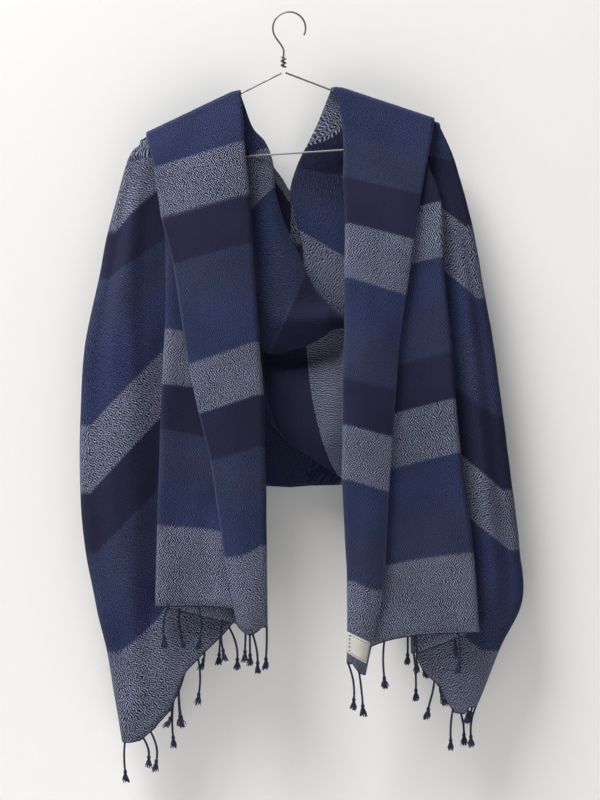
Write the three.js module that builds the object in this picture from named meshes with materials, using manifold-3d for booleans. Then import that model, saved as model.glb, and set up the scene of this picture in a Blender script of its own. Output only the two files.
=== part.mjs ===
// A fringed cotton scarf draped over a wire hanger, its collar turned out like a shawl.
// Millimetres. +X is the viewer's right, -Y faces the viewer and +Z is up.
// The origin is the inner top of the hook, where a knob or a rail holds it.
import * as THREE from 'three';
import { mergeVertices } from 'three/addons/utils/BufferGeometryUtils.js';
import Module from 'manifold-3d';

const wasm = await Module();
wasm.setup();

// ---- Driving sizes ------------------------------------------------------------------------

const CLOTH = 1.6; // thickness of the cloth wall
const SEAM = 0.3; // gap between neighbouring pieces
const WIRE_RADIUS = 1.25;
const WIRE_SIDES = 6;

const HOOK = { radius: 20.5, centreX: -1, tailAngle: 25 };
const NECK = { x: -8, top: -46, z: -74, twistRadius: 2.75 };
const ARM_SLOPE = { left: 0.503, right: -0.382 };
const LEFT_BEND = { x: -171, z: -173.4, radius: 13.6 };
const RIGHT_BEND = { x: 170, z: -154, radius: 11 };

const ARCH_ROWS = 3; // rows that carry the cloth over an arm
const FALL_ROWS = 17; // rows from the arm down to the hem
const ARCH = { outer: 6.5, inner: 3.6, slit: 0.5 }; // heights over the arm, and half the slit on top

// One row for each line of weft where the stripe changes, from the shoulder down to the hem.
// Each fold line is [x, z] on that weft line: the free selvedge of the lapel, the collar fold
// beside the neck, the outer fold of the front fall, the hidden inner fold and the side fold.
function endRow(level, selvedge, collar, front, inner, side) {
  return { level, selvedge, collar, front, inner, side };
}

const LEFT_END = [
  endRow('shoulder', [-179, -150], [-62, -95], [-142, -132], [-106, -115], [-187, -158]),
  endRow('third white top', [-169, -194], [-57, -162], [-156, -190], [-112, -165], [-203, -186]),
  endRow('third white', [-159, -259], [-50, -230], [-158, -244], [-122, -212], [-227, -275]),
  endRow('second navy', [-145, -315], [-46, -289], [-154, -290], [-124, -262], [-238, -332]),
  endRow('second slate', [-135, -379], [-42, -351], [-153, -343], [-121, -319], [-256, -415]),
  endRow('second blue', [-125, -440], [-38, -412], [-154, -396], [-116, -382], [-262, -516]),
  endRow('second white', [-112, -502], [-33, -478], [-158, -465], [-109, -454], [-262, -601]),
  endRow('first navy', [-98, -560], [-31, -542], [-160, -521], [-97, -533], [-255, -675]),
  endRow('first slate', [-89, -619], [-30, -602], [-162, -581], [-84, -598], [-242, -740]),
  endRow('first blue', [-80, -679], [-29, -664], [-164, -640], [-74, -664], [-228, -800]),
  endRow('hem', [-65, -761], [-28, -763], [-166, -739], [-65, -761], [-209, -910]),
];
const RIGHT_END = [
  endRow('shoulder', [180, -132], [55, -91], [165, -129], [130, -115], [187, -137]),
  endRow('sixth slate', [163, -228], [66, -206], [171, -188], [138, -170], [205, -184]),
  endRow('sixth navy', [154, -286], [69, -266], [188, -238], [142, -212], [228, -268]),
  endRow('seventh white', [144, -354], [68, -332], [190, -306], [146, -284], [242, -347]),
  endRow('seventh blue', [136, -411], [68, -396], [195, -365], [149, -359], [255, -421]),
  endRow('seventh slate', [131, -471], [66, -458], [201, -424], [151, -431], [266, -503]),
  endRow('seventh navy', [127, -529], [66, -514], [205, -482], [151, -502], [278, -595]),
  endRow('eighth white', [122, -598], [65, -583], [211, -550], [151, -575], [287, -672]),
  endRow('eighth blue', [119, -659], [68, -646], [219, -612], [151, -643], [290, -734]),
  endRow('eighth slate', [114, -719], [71, -706], [227, -672], [151, -706], [262, -796]),
  endRow('hem', [93, -822], [71, -808], [234, -771], [151, -798], [233, -866]),
];

// Depth of each layer at the same levels: how far it stands in front of (-) or behind (+) the arm.
const DEPTHS = [
  { lapel: -11, front: -8, tuck: -5.5, drape: -3.2, rear: 3.2 },
  { lapel: -23, front: -14.5, tuck: -9.5, drape: -5, rear: 8 },
  { lapel: -30, front: -19, tuck: -12.5, drape: -6.5, rear: 12 },
  { lapel: -35, front: -23, tuck: -15, drape: -7.5, rear: 15 },
  { lapel: -38, front: -26, tuck: -17, drape: -8.5, rear: 17 },
  { lapel: -41, front: -28, tuck: -18, drape: -9, rear: 18 },
  { lapel: -43, front: -29.5, tuck: -19, drape: -9.5, rear: 18 },
  { lapel: -44, front: -30, tuck: -19.5, drape: -10, rear: 18 },
  { lapel: -45, front: -31, tuck: -20, drape: -10, rear: 17 },
  { lapel: -46, front: -32, tuck: -21, drape: -10, rear: 15 },
  { lapel: -46, front: -33, tuck: -22, drape: -10, rear: 10 },
];

// How far the collar fold bows outward between the shoulder and the next weft line.
const COLLAR_BOW = { left: 0, right: 6 };

// How far the middle of the hem sags below the straight line between its fold lines.
const HEM_SAG = {
  left: { lapel: 10, front: -14 },
  right: { lapel: 3, front: -17 },
};
const FRONT_SKEW = 0.6; // the front fall's hem rises most beside the collar fold
// Sag of the drape's hem by its share of the way from the inner fold to the side fold.
const DRAPE_SAG = {
  left: [[0, 0], [0.1, 0], [0.25, -4], [0.45, -8], [0.5, -4], [0.6, 18], [0.8, 16], [0.9, 12], [1, 0]],
  right: [[0, 0], [0.08, 10], [0.2, 14], [0.43, 11], [0.55, 21], [0.73, 25], [0.92, 14], [1, 0]],
};
const SAG_START = 0.8; // share of the fall where the sag begins
// How each stretch departs from flat: the lapel's edge curls back and its middle crowns, the front
// fall waves once, and the side drape swells forward outside the front fall.
const LAPEL_STEPS = 5;
const LAPEL_CURL = 4;
const LAPEL_CROWN = 3;
const FRONT_WAVE = 2.2;
const DRAPE_SWELL = 13;

// The back of the cape between the two side folds: its neckline, and its lower edge, which is the
// hem at both sides and the lower selvedge between them.
const NECKLINE = [
  [-187, -158], [-65, -95], [-50, -150], [-33, -180], [-20, -193], [-10, -206], [-1, -222],
  [10, -212], [24, -182], [38, -146], [55, -91], [187, -137],
];
const LOWER_EDGE = [
  [-209, -910], [-192, -906], [-178, -895], [-147, -852], [-136, -818], [-111, -794], [-92, -750],
  [-74, -678], [-38, -592], [0, -594], [27, -592], [74, -591], [104, -676], [131, -755],
  [152, -771], [174, -808], [192, -840], [215, -864], [233, -866],
];
const HEM_CORNERS = { left: -84, right: 124 }; // where the hem meets the lower selvedge
// Depth of the back by its distance below the arms.
const BACK_DEPTH = [
  [0, 9], [7, 9.2], [40, 13.5], [80, 18], [120, 21.5], [160, 24.5], [220, 27], [320, 28],
  [500, 28], [840, 22],
];
const NECKLINE_ENDS = { left: -65, right: 55, roll: 1.5 };
const BACK = { sidePart: 0.1, columns: 20, blend: 0.16, waves: 2.5, waveHeight: 3 };

// The swags between the lapels, one row for each weft line that shows: the rolled edge at the
// neck, the lower edge, the depth of the edges, how far the belly stands forward and how deep
// the edges turn back.
const COWL_LEFT = [
  { neck: [-66, -103.4], low: [-97, -119.2], depth: -4, belly: 0, turn: 0.2 },
  { neck: [-65, -98.6], low: [-98, -115.4], depth: 0, belly: 0, turn: 0.2 },
  { neck: [-61, -106], low: [-100, -125], depth: 4.6, belly: 0.2, turn: 0.6 },
  { neck: [-48, -142], low: [-98, -175], depth: 7.5, belly: 3, turn: 2.5 },
  { neck: [-32, -161], low: [-94, -215], depth: 8, belly: 4, turn: 3 },
  { neck: [-22, -187], low: [-90, -262], depth: 7, belly: 7, turn: 4 },
  { neck: [-18, -225], low: [-83, -312], depth: 6, belly: 11, turn: 4 },
  { neck: [-8, -260], low: [-74, -352], depth: 5, belly: 14, turn: 4.5 },
  { neck: [4, -288], low: [-58, -392], depth: 4.5, belly: 15, turn: 4.5 },
  { neck: [19, -321], low: [-28, -425], depth: 4.5, belly: 14, turn: 4.5 },
  { neck: [32, -346], low: [2, -421], depth: 4.5, belly: 11, turn: 4.5 },
  { neck: [47, -363], low: [30, -411], depth: 4.5, belly: 8, turn: 4 },
  { neck: [60, -375], low: [53, -396], depth: 4.5, belly: 5, turn: 3 },
  { neck: [78, -380], low: [76, -392], depth: 4.5, belly: 3, turn: 2 },
];
const COWL_RIGHT = [
  { neck: [53, -98.5], low: [92, -113.5], depth: -4, belly: 0, turn: 0.2 },
  { neck: [52, -93.8], low: [92, -109], depth: 0, belly: 0, turn: 0.2 },
  { neck: [50, -101], low: [94, -119], depth: 4.6, belly: 0.2, turn: 0.6 },
  { neck: [38, -131], low: [96, -154], depth: 7.5, belly: 2, turn: 2 },
  { neck: [25, -158], low: [97, -187], depth: 9, belly: 3, turn: 3 },
  { neck: [11, -187], low: [97, -222], depth: 12.5, belly: 1.5, turn: 3 },
  { neck: [-1, -219], low: [97, -259], depth: 16, belly: 1, turn: 3 },
  { neck: [-7, -251], low: [94, -297], depth: 17, belly: 1, turn: 3 },
  { neck: [-6, -300], low: [91, -345], depth: 17, belly: 1, turn: 3 },
  { neck: [4, -380], low: [86, -396], depth: 17, belly: 1, turn: 3 },
];
const COWL_LOWER = [
  { neck: [-62, -404], low: [-62, -468], depth: 7, belly: 6, turn: 3 },
  { neck: [-40, -408], low: [-32, -503], depth: 7, belly: 10, turn: 3 },
  { neck: [-20, -408], low: [-3, -535], depth: 7, belly: 12, turn: 3 },
  { neck: [2, -402], low: [27, -556], depth: 7, belly: 13, turn: 3 },
  { neck: [28, -394], low: [56, -575], depth: 7, belly: 12, turn: 3 },
  { neck: [50, -385], low: [77, -590], depth: 7, belly: 9, turn: 3 },
  { neck: [78, -380], low: [97, -604], depth: 7, belly: 6, turn: 3 },
];
// Sections across a swag, from the neck edge to the lower edge: share of the way, share of the
// belly (forward) and share of the turn (back).
const ROLLED_SECTION = [
  { way: 0.07, belly: 0, turn: 1 },
  { way: 0.0, belly: 0, turn: 0.45 },
  { way: 0.03, belly: 0.35, turn: 0 },
  { way: 0.13, belly: 0.7, turn: 0 },
  { way: 0.3, belly: 0.95, turn: 0 },
  { way: 0.5, belly: 1, turn: 0 },
  { way: 0.7, belly: 0.93, turn: 0 },
  { way: 0.88, belly: 0.62, turn: 0 },
  { way: 0.975, belly: 0.42, turn: 0 },
  { way: 1.0, belly: 0.28, turn: 0.45 },
  { way: 0.94, belly: 0.1, turn: 1 },
];
const TUCKED_SECTION = [
  { way: 0.0, belly: 0, turn: 1.8 },
  { way: 0.2, belly: 0, turn: 1.7 },
  { way: 0.34, belly: 0.3, turn: 0.6 },
  { way: 0.48, belly: 0.75, turn: 0 },
  { way: 0.65, belly: 1, turn: 0 },
  { way: 0.82, belly: 0.92, turn: 0 },
  { way: 0.95, belly: 0.5, turn: 0 },
  { way: 1.0, belly: 0, turn: 0.4 },
  { way: 0.96, belly: 0, turn: 1.1 },
];
const SWAG_ROWS = 20;

// Fringe: twisted cords, each ending in a knot and a frayed tuft.
const STRIP = 4.8; // how far the woven edge that carries the cords reaches below the hem
const HEM_GAP = 2.1; // its gap under the hem, measured straight down past the sloping stretches
const STRAND = { cord: 1.15, knot: 2.3, neck: 1.5, tuft: 3.1, tuftLength: 17, sides: 4 };
// For each hem: [place along it, drop from the hem to the knot, sideways swing of the knot].
const STRANDS = {
  left_lapel: [[0.42, 36, 7], [0.9, 41, -1]],
  left_front: [
    [0.083, 50, 0], [0.107, 48, -1], [0.357, 41, 2], [0.505, 39, -6], [0.72, 34, 3], [0.95, 37, 0],
  ],
  left_side: [
    [0.085, 40, 11], [0.225, 10, -1], [0.26, 45, 1], [0.4, 38, 3], [0.47, 43, 0], [0.5, 11, 0],
    [0.62, 37, 8], [0.66, 24, 8], [0.79, 40, 0],
  ],
  right_lapel: [[0.28, 43, 5], [0.85, 46, 8]],
  right_front: [[0.19, 46, 0], [0.35, 35, 0], [0.55, 38, 2], [0.8, 12, 1]],
  right_side: [
    [0.05, 48, 3], [0.27, 35, -8], [0.32, 11, 2], [0.47, 38, -3], [0.58, 10, -1], [0.66, 39, -7],
    [0.72, 10, 0], [0.8, 40, 9],
  ],
  left_back: [[0.2, 30, 2], [0.97, 50, 0]],
  right_back: [[0.3, 30, 0], [0.75, 10, -1]],
};

// The label on the right lapel: its shares of the last row of cloth above the hem, its places among
// the lapel's points (0 is the selvedge), its thickness and how far it stands off the lapel.
const LABEL = {
  top: 0.42, bottom: 0.8, near: 5.7, far: 0.7, thickness: 1, lift: 0.5, rows: 2, columns: 5,
};

const COLOURS = {
  blue: 0x1f2f6b, slate: 0x2a3a66, navy: 0x17173f, white: 0x7d84a3, cord: 0x1b1d40,
  label: 0xd9d2c0, wire: 0x8d8f91,
};

// ---- Curves through the tables -------------------------------------------------------------

// Catmull-Rom through evenly numbered values; place runs from 0 to values.length - 1.
function spline(values, place) {
  const last = values.length - 1;
  const i = Math.min(Math.floor(place), last - 1);
  const t = place - i;
  const before = i > 0 ? values[i - 1] : 2 * values[0] - values[1];
  const after = i + 2 <= last ? values[i + 2] : 2 * values[last] - values[last - 1];
  const a = 2 * values[i];
  const b = values[i + 1] - before;
  const c = 2 * before - 5 * values[i] + 4 * values[i + 1] - after;
  const d = -before + 3 * values[i] - 3 * values[i + 1] + after;
  return 0.5 * (a + b * t + c * t * t + d * t * t * t);
}

// Straight-line reading of a table of [x, y] pairs.
function read(table, x) {
  let i = 0;
  while (i < table.length - 2 && x > table[i + 1][0]) {
    i += 1;
  }
  const [x0, y0] = table[i];
  const [x1, y1] = table[i + 1];
  const share = THREE.MathUtils.clamp((x - x0) / (x1 - x0), 0, 1);
  return y0 + (y1 - y0) * share;
}

function mix(a, b, share) {
  return a + (b - a) * share;
}

function smooth(low, high, x) {
  return THREE.MathUtils.smoothstep(x, low, high);
}

// A fold line of an end at a share of the fall; the table's shoulder row is the top of the arch,
// and the fall starts an arch's height below it.
function foldLine(end, name, fall) {
  const place = fall * (end.length - 1);
  const xs = end.map((row) => row[name][0]);
  const zs = end.map((row, i) => row[name][1] - (i === 0 ? ARCH.outer : 0));
  return { x: spline(xs, place), z: spline(zs, place) };
}

// The collar fold's bow at a share of the fall.
function collarBow(end, fall) {
  return Math.sin(Math.PI * Math.min(fall * (end.length - 1), 1) ** 0.7);
}

function layerDepth(name, fall) {
  return spline(DEPTHS.map((row) => row[name]), fall * (DEPTHS.length - 1));
}

// ---- Walls ---------------------------------------------------------------------------------

// A closed wall round a grid of points: an outer and an inner skin, and a rim along the edges.
// The outer skin lies to the left of the rows' direction, and swap turns it over.
function wall(grid, thickness = CLOTH) {
  const rows = grid.length;
  const cols = grid[0].length;
  const positions = [];
  const at = (r, c) => {
    const row = THREE.MathUtils.clamp(r, 0, rows - 1);
    return grid[row][THREE.MathUtils.clamp(c, 0, cols - 1)];
  };
  for (const side of [0.5, -0.5]) {
    for (let r = 0; r < rows; r += 1) {
      for (let c = 0; c < cols; c += 1) {
        const across = at(r, c + 1).clone().sub(at(r, c - 1));
        const down = at(r + 1, c).clone().sub(at(r - 1, c));
        const normal = across.cross(down).normalize();
        const point = at(r, c).clone().addScaledVector(normal, side * thickness);
        positions.push(point.x, point.y, point.z);
      }
    }
  }
  const index = [];
  const skin = rows * cols;
  const quad = (a, b, c, d) => index.push(a, b, c, a, c, d);
  for (let r = 0; r < rows - 1; r += 1) {
    for (let c = 0; c < cols - 1; c += 1) {
      const i = r * cols + c;
      quad(i, i + cols, i + cols + 1, i + 1);
      quad(skin + i, skin + i + 1, skin + i + cols + 1, skin + i + cols);
    }
  }
  const rim = (a, b) => quad(a, b, skin + b, skin + a);
  for (let c = 0; c < cols - 1; c += 1) {
    rim(c, c + 1);
    rim((rows - 1) * cols + c + 1, (rows - 1) * cols + c);
  }
  for (let r = 0; r < rows - 1; r += 1) {
    rim((r + 1) * cols, r * cols);
    rim(r * cols + cols - 1, (r + 1) * cols + cols - 1);
  }
  return facingOut(closedGeometry(positions, index));
}

function closedGeometry(positions, index) {
  const geometry = new THREE.BufferGeometry();
  geometry.setAttribute('position', new THREE.Float32BufferAttribute(positions, 3));
  geometry.setIndex(index);
  return geometry;
}

function volume(geometry) {
  const p = geometry.attributes.position;
  const index = geometry.index.array;
  const [a, b, c] = [new THREE.Vector3(), new THREE.Vector3(), new THREE.Vector3()];
  let sum = 0;
  for (let i = 0; i < index.length; i += 3) {
    a.fromBufferAttribute(p, index[i]);
    b.fromBufferAttribute(p, index[i + 1]);
    c.fromBufferAttribute(p, index[i + 2]);
    sum += a.dot(b.cross(c)) / 6;
  }
  return sum;
}

function facingOut(geometry) {
  if (volume(geometry) < 0) {
    geometry.index.array.reverse();
  }
  return geometry;
}

// ---- The ends: lapel, front fall and side drape ----------------------------------------------

// A stretch of one section between two fold lines, at a depth that may belly forward.
function stretch(from, to, depth, steps, shape) {
  const points = [];
  for (let i = 0; i <= steps; i += 1) {
    const u = i / steps;
    const bend = shape ? shape(u) : { y: 0, z: 0 };
    points.push(new THREE.Vector3(mix(from.x, to.x, u), depth + bend.y, mix(from.z, to.z, u) + bend.z));
  }
  return points;
}

// The points of a half-round fold between two depths, bulging towards outward (+1 or -1 in X).
function fold(line, depthFrom, depthTo, outward, steps) {
  const radius = Math.abs(depthTo - depthFrom) / 2;
  const middle = (depthFrom + depthTo) / 2;
  const points = [];
  for (let i = 1; i < steps; i += 1) {
    const angle = (Math.PI * i) / steps;
    const x = line.x - outward * radius * (1 - Math.sin(angle));
    points.push(new THREE.Vector3(x, middle + (depthFrom - middle) * Math.cos(angle), line.z));
  }
  return points;
}

function foldStart(line, depthFrom, depthTo, outward) {
  return { x: line.x - (outward * Math.abs(depthTo - depthFrom)) / 2, z: line.z };
}

// The section of one end at a share of the fall, split into its three pieces.
function endSection(end, hand, sag, fall) {
  const line = Object.fromEntries(
    ['selvedge', 'collar', 'front', 'inner', 'side'].map((name) => [name, foldLine(end, name, fall)]),
  );
  line.collar.x += hand * (hand < 0 ? COLLAR_BOW.left : COLLAR_BOW.right) * collarBow(end, fall);
  const y = Object.fromEntries(
    ['lapel', 'front', 'tuck', 'drape', 'rear'].map((name) => [name, layerDepth(name, fall)]),
  );
  const open = smooth(0, 0.35, fall);
  const drop = smooth(SAG_START, 1, fall);
  const inward = -hand; // towards the neck
  const lapelEnd = foldStart(line.collar, y.lapel, y.front, inward);
  const lapel = stretch(line.selvedge, lapelEnd, y.lapel, LAPEL_STEPS, (u) => ({
    y: LAPEL_CURL * open * (1 - u) ** 2 - LAPEL_CROWN * open * Math.sin(Math.PI * u),
    z: -sag.lapel * drop * Math.sin(Math.PI * u),
  }));
  const collarFold = fold(line.collar, y.lapel, y.front, inward, 4);
  const frontEnd = foldStart(line.front, y.front, y.tuck, hand);
  const front = stretch(lapelEnd, frontEnd, y.front, 6, (u) => ({
    y: -FRONT_WAVE * open * Math.sin(2 * Math.PI * u),
    z: -sag.front * drop * Math.sin(Math.PI * u ** FRONT_SKEW),
  }));
  const frontFold = fold(line.front, y.front, y.tuck, hand, 4);
  const tuckEnd = foldStart(line.inner, y.tuck, y.drape, inward);
  const tuck = stretch(frontEnd, tuckEnd, y.tuck, 2);
  const innerFold = fold(line.inner, y.tuck, y.drape, inward, 4);
  const drapeEnd = foldStart(line.side, y.drape, y.rear, hand);
  const drape = stretch(tuckEnd, drapeEnd, y.drape, 8, (u) => {
    const outside = hand * (mix(tuckEnd.x, drapeEnd.x, u) - line.front.x);
    const swell = smooth(4, 45, outside) * (1 - smooth(0.75, 1, u));
    return {
      y: -DRAPE_SWELL * open * swell,
      z: -drop * read(sag.drape, u),
    };
  });
  const sideFold = fold(line.side, y.drape, y.rear, hand, 5);
  return {
    lapel: [...lapel, ...collarFold],
    front: [...front, ...frontFold, ...tuck],
    side: [...innerFold, ...drape, ...sideFold],
  };
}

// Over an arm the front and the back meet at a fine slit along the wire.
function slitDepth(point) {
  return Math.sign(point.y || 1) * ARCH.slit;
}

// The crest of an arch over one point of a section: its depth and its height.
function outerCrest(point) {
  return { y: slitDepth(point), height: ARCH.outer };
}

// The side drape passes under the lapel in front, and comes up beside it at the back.
function sideCrest(point) {
  return { y: slitDepth(point), height: mix(ARCH.inner, ARCH.outer, smooth(0, 4, point.y)) };
}

// Beside the neck, where no arm carries it, the edge of the back only rolls forward a little.
function necklineCrest(point) {
  const inside = Math.min(point.x - NECKLINE_ENDS.left, NECKLINE_ENDS.right - point.x);
  const free = smooth(-14, -2, inside);
  return { y: mix(ARCH.slit, point.y - NECKLINE_ENDS.roll, free), height: ARCH.outer };
}

// The label lies on the lapel: points of the lapel's own last rows, moved out past its face.
function labelGrid(lapelRows) {
  const outward = CLOTH / 2 + SEAM + LABEL.thickness / 2 + LABEL.lift;
  const [above, hem] = lapelRows.slice(-2);
  const grid = [];
  for (let r = 0; r <= LABEL.rows; r += 1) {
    const down = mix(LABEL.top, LABEL.bottom, r / LABEL.rows);
    const face = hem.map((point, i) => above[i].clone().lerp(point, down));
    const row = [];
    for (let c = 0; c <= LABEL.columns; c += 1) {
      const place = mix(LABEL.near, LABEL.far, c / LABEL.columns);
      const i = Math.floor(place);
      const point = face[i].clone().lerp(face[i + 1], place - i);
      row.push(point.setY(point.y - outward));
    }
    grid.push(row);
  }
  return grid;
}

// Rows of points down a piece; a piece with a crest first comes over the arm.
function fallRows(section, crest) {
  const rows = [];
  const springing = section(0);
  if (crest) {
    for (let k = 0; k < ARCH_ROWS; k += 1) {
      const angle = (Math.PI / 2) * (1 - k / ARCH_ROWS);
      rows.push(springing.map((point) => {
        const top = crest(point);
        const y = top.y + (point.y - top.y) * Math.cos(angle);
        return new THREE.Vector3(point.x, y, point.z + top.height * Math.sin(angle));
      }));
    }
  }
  for (let r = 0; r < FALL_ROWS; r += 1) {
    rows.push(section(r / (FALL_ROWS - 1)));
  }
  return rows;
}

// ---- The cape: the back between the two side folds --------------------------------------------

function wireHeight(x) {
  const slope = x < NECK.x ? ARM_SLOPE.left : ARM_SLOPE.right;
  return NECK.z + slope * (x - NECK.x);
}

// A point of the back: across runs from the left side fold (0) to the right one (1).
function capePoint(across, fall) {
  const left = foldLine(LEFT_END, 'side', fall);
  const right = foldLine(RIGHT_END, 'side', fall);
  const leftTop = foldLine(LEFT_END, 'side', 0);
  const rightTop = foldLine(RIGHT_END, 'side', 0);
  const leftHem = foldLine(LEFT_END, 'side', 1);
  const rightHem = foldLine(RIGHT_END, 'side', 1);
  const radius = (layerDepth('rear', fall) - layerDepth('drape', fall)) / 2;
  const x = mix(left.x + radius, right.x - radius, across);
  const topX = mix(leftTop.x, rightTop.x, across);
  const hemX = mix(leftHem.x, rightHem.x, across);
  const shareLeft = (left.z - leftTop.z) / (leftHem.z - leftTop.z);
  const shareRight = (right.z - rightTop.z) / (rightHem.z - rightTop.z);
  const share = mix(shareLeft, shareRight, across);
  const z = mix(read(NECKLINE, topX) - ARCH.outer, read(LOWER_EDGE, hemX), share);
  const fromSide = Math.min(across, 1 - across);
  const below = Math.max(0, wireHeight(x) - z);
  const waves = BACK.waveHeight * smooth(150, 320, below) * Math.sin(Math.PI * across);
  const depth = read(BACK_DEPTH, below) + waves * Math.sin(2 * Math.PI * BACK.waves * share);
  return new THREE.Vector3(x, mix(layerDepth('rear', fall), depth, smooth(0, BACK.blend, fromSide)), z);
}

// Columns of the back between two shares, for one row.
function capeRow(from, to, columns, fall) {
  const points = [];
  for (let c = 0; c <= columns; c += 1) {
    points.push(capePoint(mix(from, to, c / columns), fall));
  }
  return points;
}

// ---- Swags ------------------------------------------------------------------------------------

function swagPoint(table, part, place) {
  const value = (pick) => spline(table.map(pick), place);
  const x = mix(value((row) => row.neck[0]), value((row) => row.low[0]), part.way);
  const z = mix(value((row) => row.neck[1]), value((row) => row.low[1]), part.way);
  const belly = value((row) => row.belly) * part.belly;
  const turn = value((row) => row.turn) * part.turn;
  return new THREE.Vector3(x, value((row) => row.depth) - belly + turn, z);
}

function swag(table, section, rows) {
  const grid = [];
  for (let r = 0; r < rows; r += 1) {
    const place = ((table.length - 1) * r) / (rows - 1);
    grid.push(section.map((part) => swagPoint(table, part, place)));
  }
  return wall(grid);
}

// ---- Fringe -----------------------------------------------------------------------------------

function asManifold(geometry) {
  const merged = mergeVertices(geometry, 1e-4);
  return new wasm.Manifold(new wasm.Mesh({
    numProp: 3,
    vertProperties: new Float32Array(merged.attributes.position.array),
    triVerts: new Uint32Array(merged.index.array),
  }));
}

function fromManifold(solid) {
  const mesh = solid.getMesh();
  return closedGeometry(Array.from(mesh.vertProperties), Array.from(mesh.triVerts));
}

// A cord from its root down to the knot, and the tuft under it, as rings of a few sides.
function strand(root, drop, swing) {
  const { cord, knot, neck, tuft, tuftLength, sides } = STRAND;
  const rings = [
    { down: -1.2, side: 0, radius: cord },
    { down: (drop - 2.5) * 0.35, side: swing * 0.7, radius: cord },
    { down: (drop - 2.5) * 0.72, side: swing * 1.1, radius: cord },
    { down: drop - 2.5, side: swing, radius: cord },
    { down: drop, side: swing, radius: knot },
    { down: drop + 3, side: swing, radius: neck },
    { down: drop + tuftLength, side: swing * 1.15, radius: tuft },
  ];
  const positions = [];
  const index = [];
  rings.forEach((ring) => {
    for (let s = 0; s < sides; s += 1) {
      const angle = (2 * Math.PI * (s + 0.5)) / sides;
      positions.push(
        root.x + ring.side + ring.radius * Math.cos(angle),
        root.y + ring.radius * Math.sin(angle),
        root.z - ring.down,
      );
    }
  });
  for (let r = 0; r < rings.length - 1; r += 1) {
    for (let s = 0; s < sides; s += 1) {
      const a = r * sides + s;
      const b = r * sides + ((s + 1) % sides);
      index.push(a, a + sides, b, b, a + sides, b + sides);
    }
  }
  const end = (rings.length - 1) * sides;
  for (let s = 1; s < sides - 1; s += 1) {
    index.push(0, s, s + 1, end, end + s + 1, end + s);
  }
  return facingOut(closedGeometry(positions, index));
}

// The fringe under a piece: a narrow strip parted from the hem, with its cords fused into it.
function fringe(hem, strands) {
  const rows = [HEM_GAP, STRIP].map((offset) => hem.map((point) => (
    new THREE.Vector3(point.x, point.y, point.z - offset)
  )));
  let solid = asManifold(wall(rows));
  const curve = new THREE.CatmullRomCurve3(rows[1]);
  strands.forEach(([at, drop, swing]) => {
    solid = solid.add(asManifold(strand(curve.getPointAt(at), drop - STRIP, swing)));
  });
  return fromManifold(solid);
}

// ---- Hanger -----------------------------------------------------------------------------------

// A point in the plane of the hanger.
function flat([x, z]) {
  return new THREE.Vector3(x, 0, z);
}

// A wire along a smooth curve through some points.
function wire(points, steps, radius = WIRE_RADIUS) {
  const path = new THREE.CatmullRomCurve3(points, false, 'centripetal');
  path.arcLengthDivisions = 400;
  const shape = new THREE.Shape();
  for (let s = 0; s < WIRE_SIDES; s += 1) {
    const angle = (2 * Math.PI * s) / WIRE_SIDES;
    const [a, b] = [radius * Math.cos(angle), radius * Math.sin(angle)];
    if (s === 0) {
      shape.moveTo(a, b);
    } else {
      shape.lineTo(a, b);
    }
  }
  const geometry = new THREE.ExtrudeGeometry(shape, { steps, extrudePath: path, bevelEnabled: false });
  geometry.deleteAttribute('normal');
  geometry.deleteAttribute('uv');
  return mergeVertices(geometry, 1e-4);
}

function arc(centreX, centreZ, radius, fromDegrees, toDegrees, count) {
  const points = [];
  for (let i = 0; i <= count; i += 1) {
    const angle = THREE.MathUtils.degToRad(mix(fromDegrees, toDegrees, i / count));
    points.push([centreX + radius * Math.cos(angle), centreZ + radius * Math.sin(angle)]);
  }
  return points;
}

function hookWire() {
  const centreZ = WIRE_RADIUS - HOOK.radius;
  const round = arc(HOOK.centreX, centreZ, HOOK.radius, -HOOK.tailAngle, 215, 16);
  const [lastX, lastZ] = round[round.length - 1];
  const shoulder = [mix(lastX, NECK.x, 0.55), mix(lastZ, NECK.top, 0.5)];
  const stem = [[NECK.x, NECK.top], [NECK.x, NECK.top - 8], [NECK.x, NECK.z + 5.5]];
  return wire([...round, shoulder, ...stem].map(flat), 36);
}

// The twisted neck: a helix of wire close round the hook's stem.
function neckTwist() {
  const turns = 2.5;
  const points = [];
  for (let i = 0; i <= 24; i += 1) {
    const angle = (2 * Math.PI * turns * i) / 24;
    const z = mix(NECK.z + 6, NECK.z + 19, i / 24);
    points.push(new THREE.Vector3(
      NECK.x + NECK.twistRadius * Math.cos(angle), NECK.twistRadius * Math.sin(angle), z,
    ));
  }
  return wire(points, 30, 1.1);
}

function armWire(bend, hand) {
  const lineTop = wireHeight(bend.x);
  const start = [NECK.x + hand * 2.4, wireHeight(NECK.x + hand * 2.4)];
  const near = [mix(start[0], bend.x, 0.5), mix(start[1], lineTop, 0.5)];
  const far = [mix(start[0], bend.x, 0.93), mix(start[1], lineTop, 0.93)];
  const round = hand < 0
    ? arc(bend.x, bend.z, bend.radius, 108, 262, 8)
    : arc(bend.x, bend.z, bend.radius, 74, -82, 8);
  return wire([start, near, far, ...round].map(flat), 26);
}

function barWire() {
  const left = [LEFT_BEND.x + 2.2, LEFT_BEND.z - LEFT_BEND.radius + 0.1];
  const right = [RIGHT_BEND.x - 1.9, RIGHT_BEND.z - RIGHT_BEND.radius + 0.2];
  return wire([left, right].map(flat), 2);
}

// ---- Assembly ---------------------------------------------------------------------------------

const scarf = new THREE.Group();
scarf.name = 'scarf_on_hanger';

function add(name, geometry, colour, roughness = 0.9, metalness = 0) {
  geometry.computeVertexNormals();
  const material = new THREE.MeshStandardMaterial({ color: colour, roughness, metalness });
  const mesh = new THREE.Mesh(geometry, material);
  mesh.name = name;
  scarf.add(mesh);
}

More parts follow.
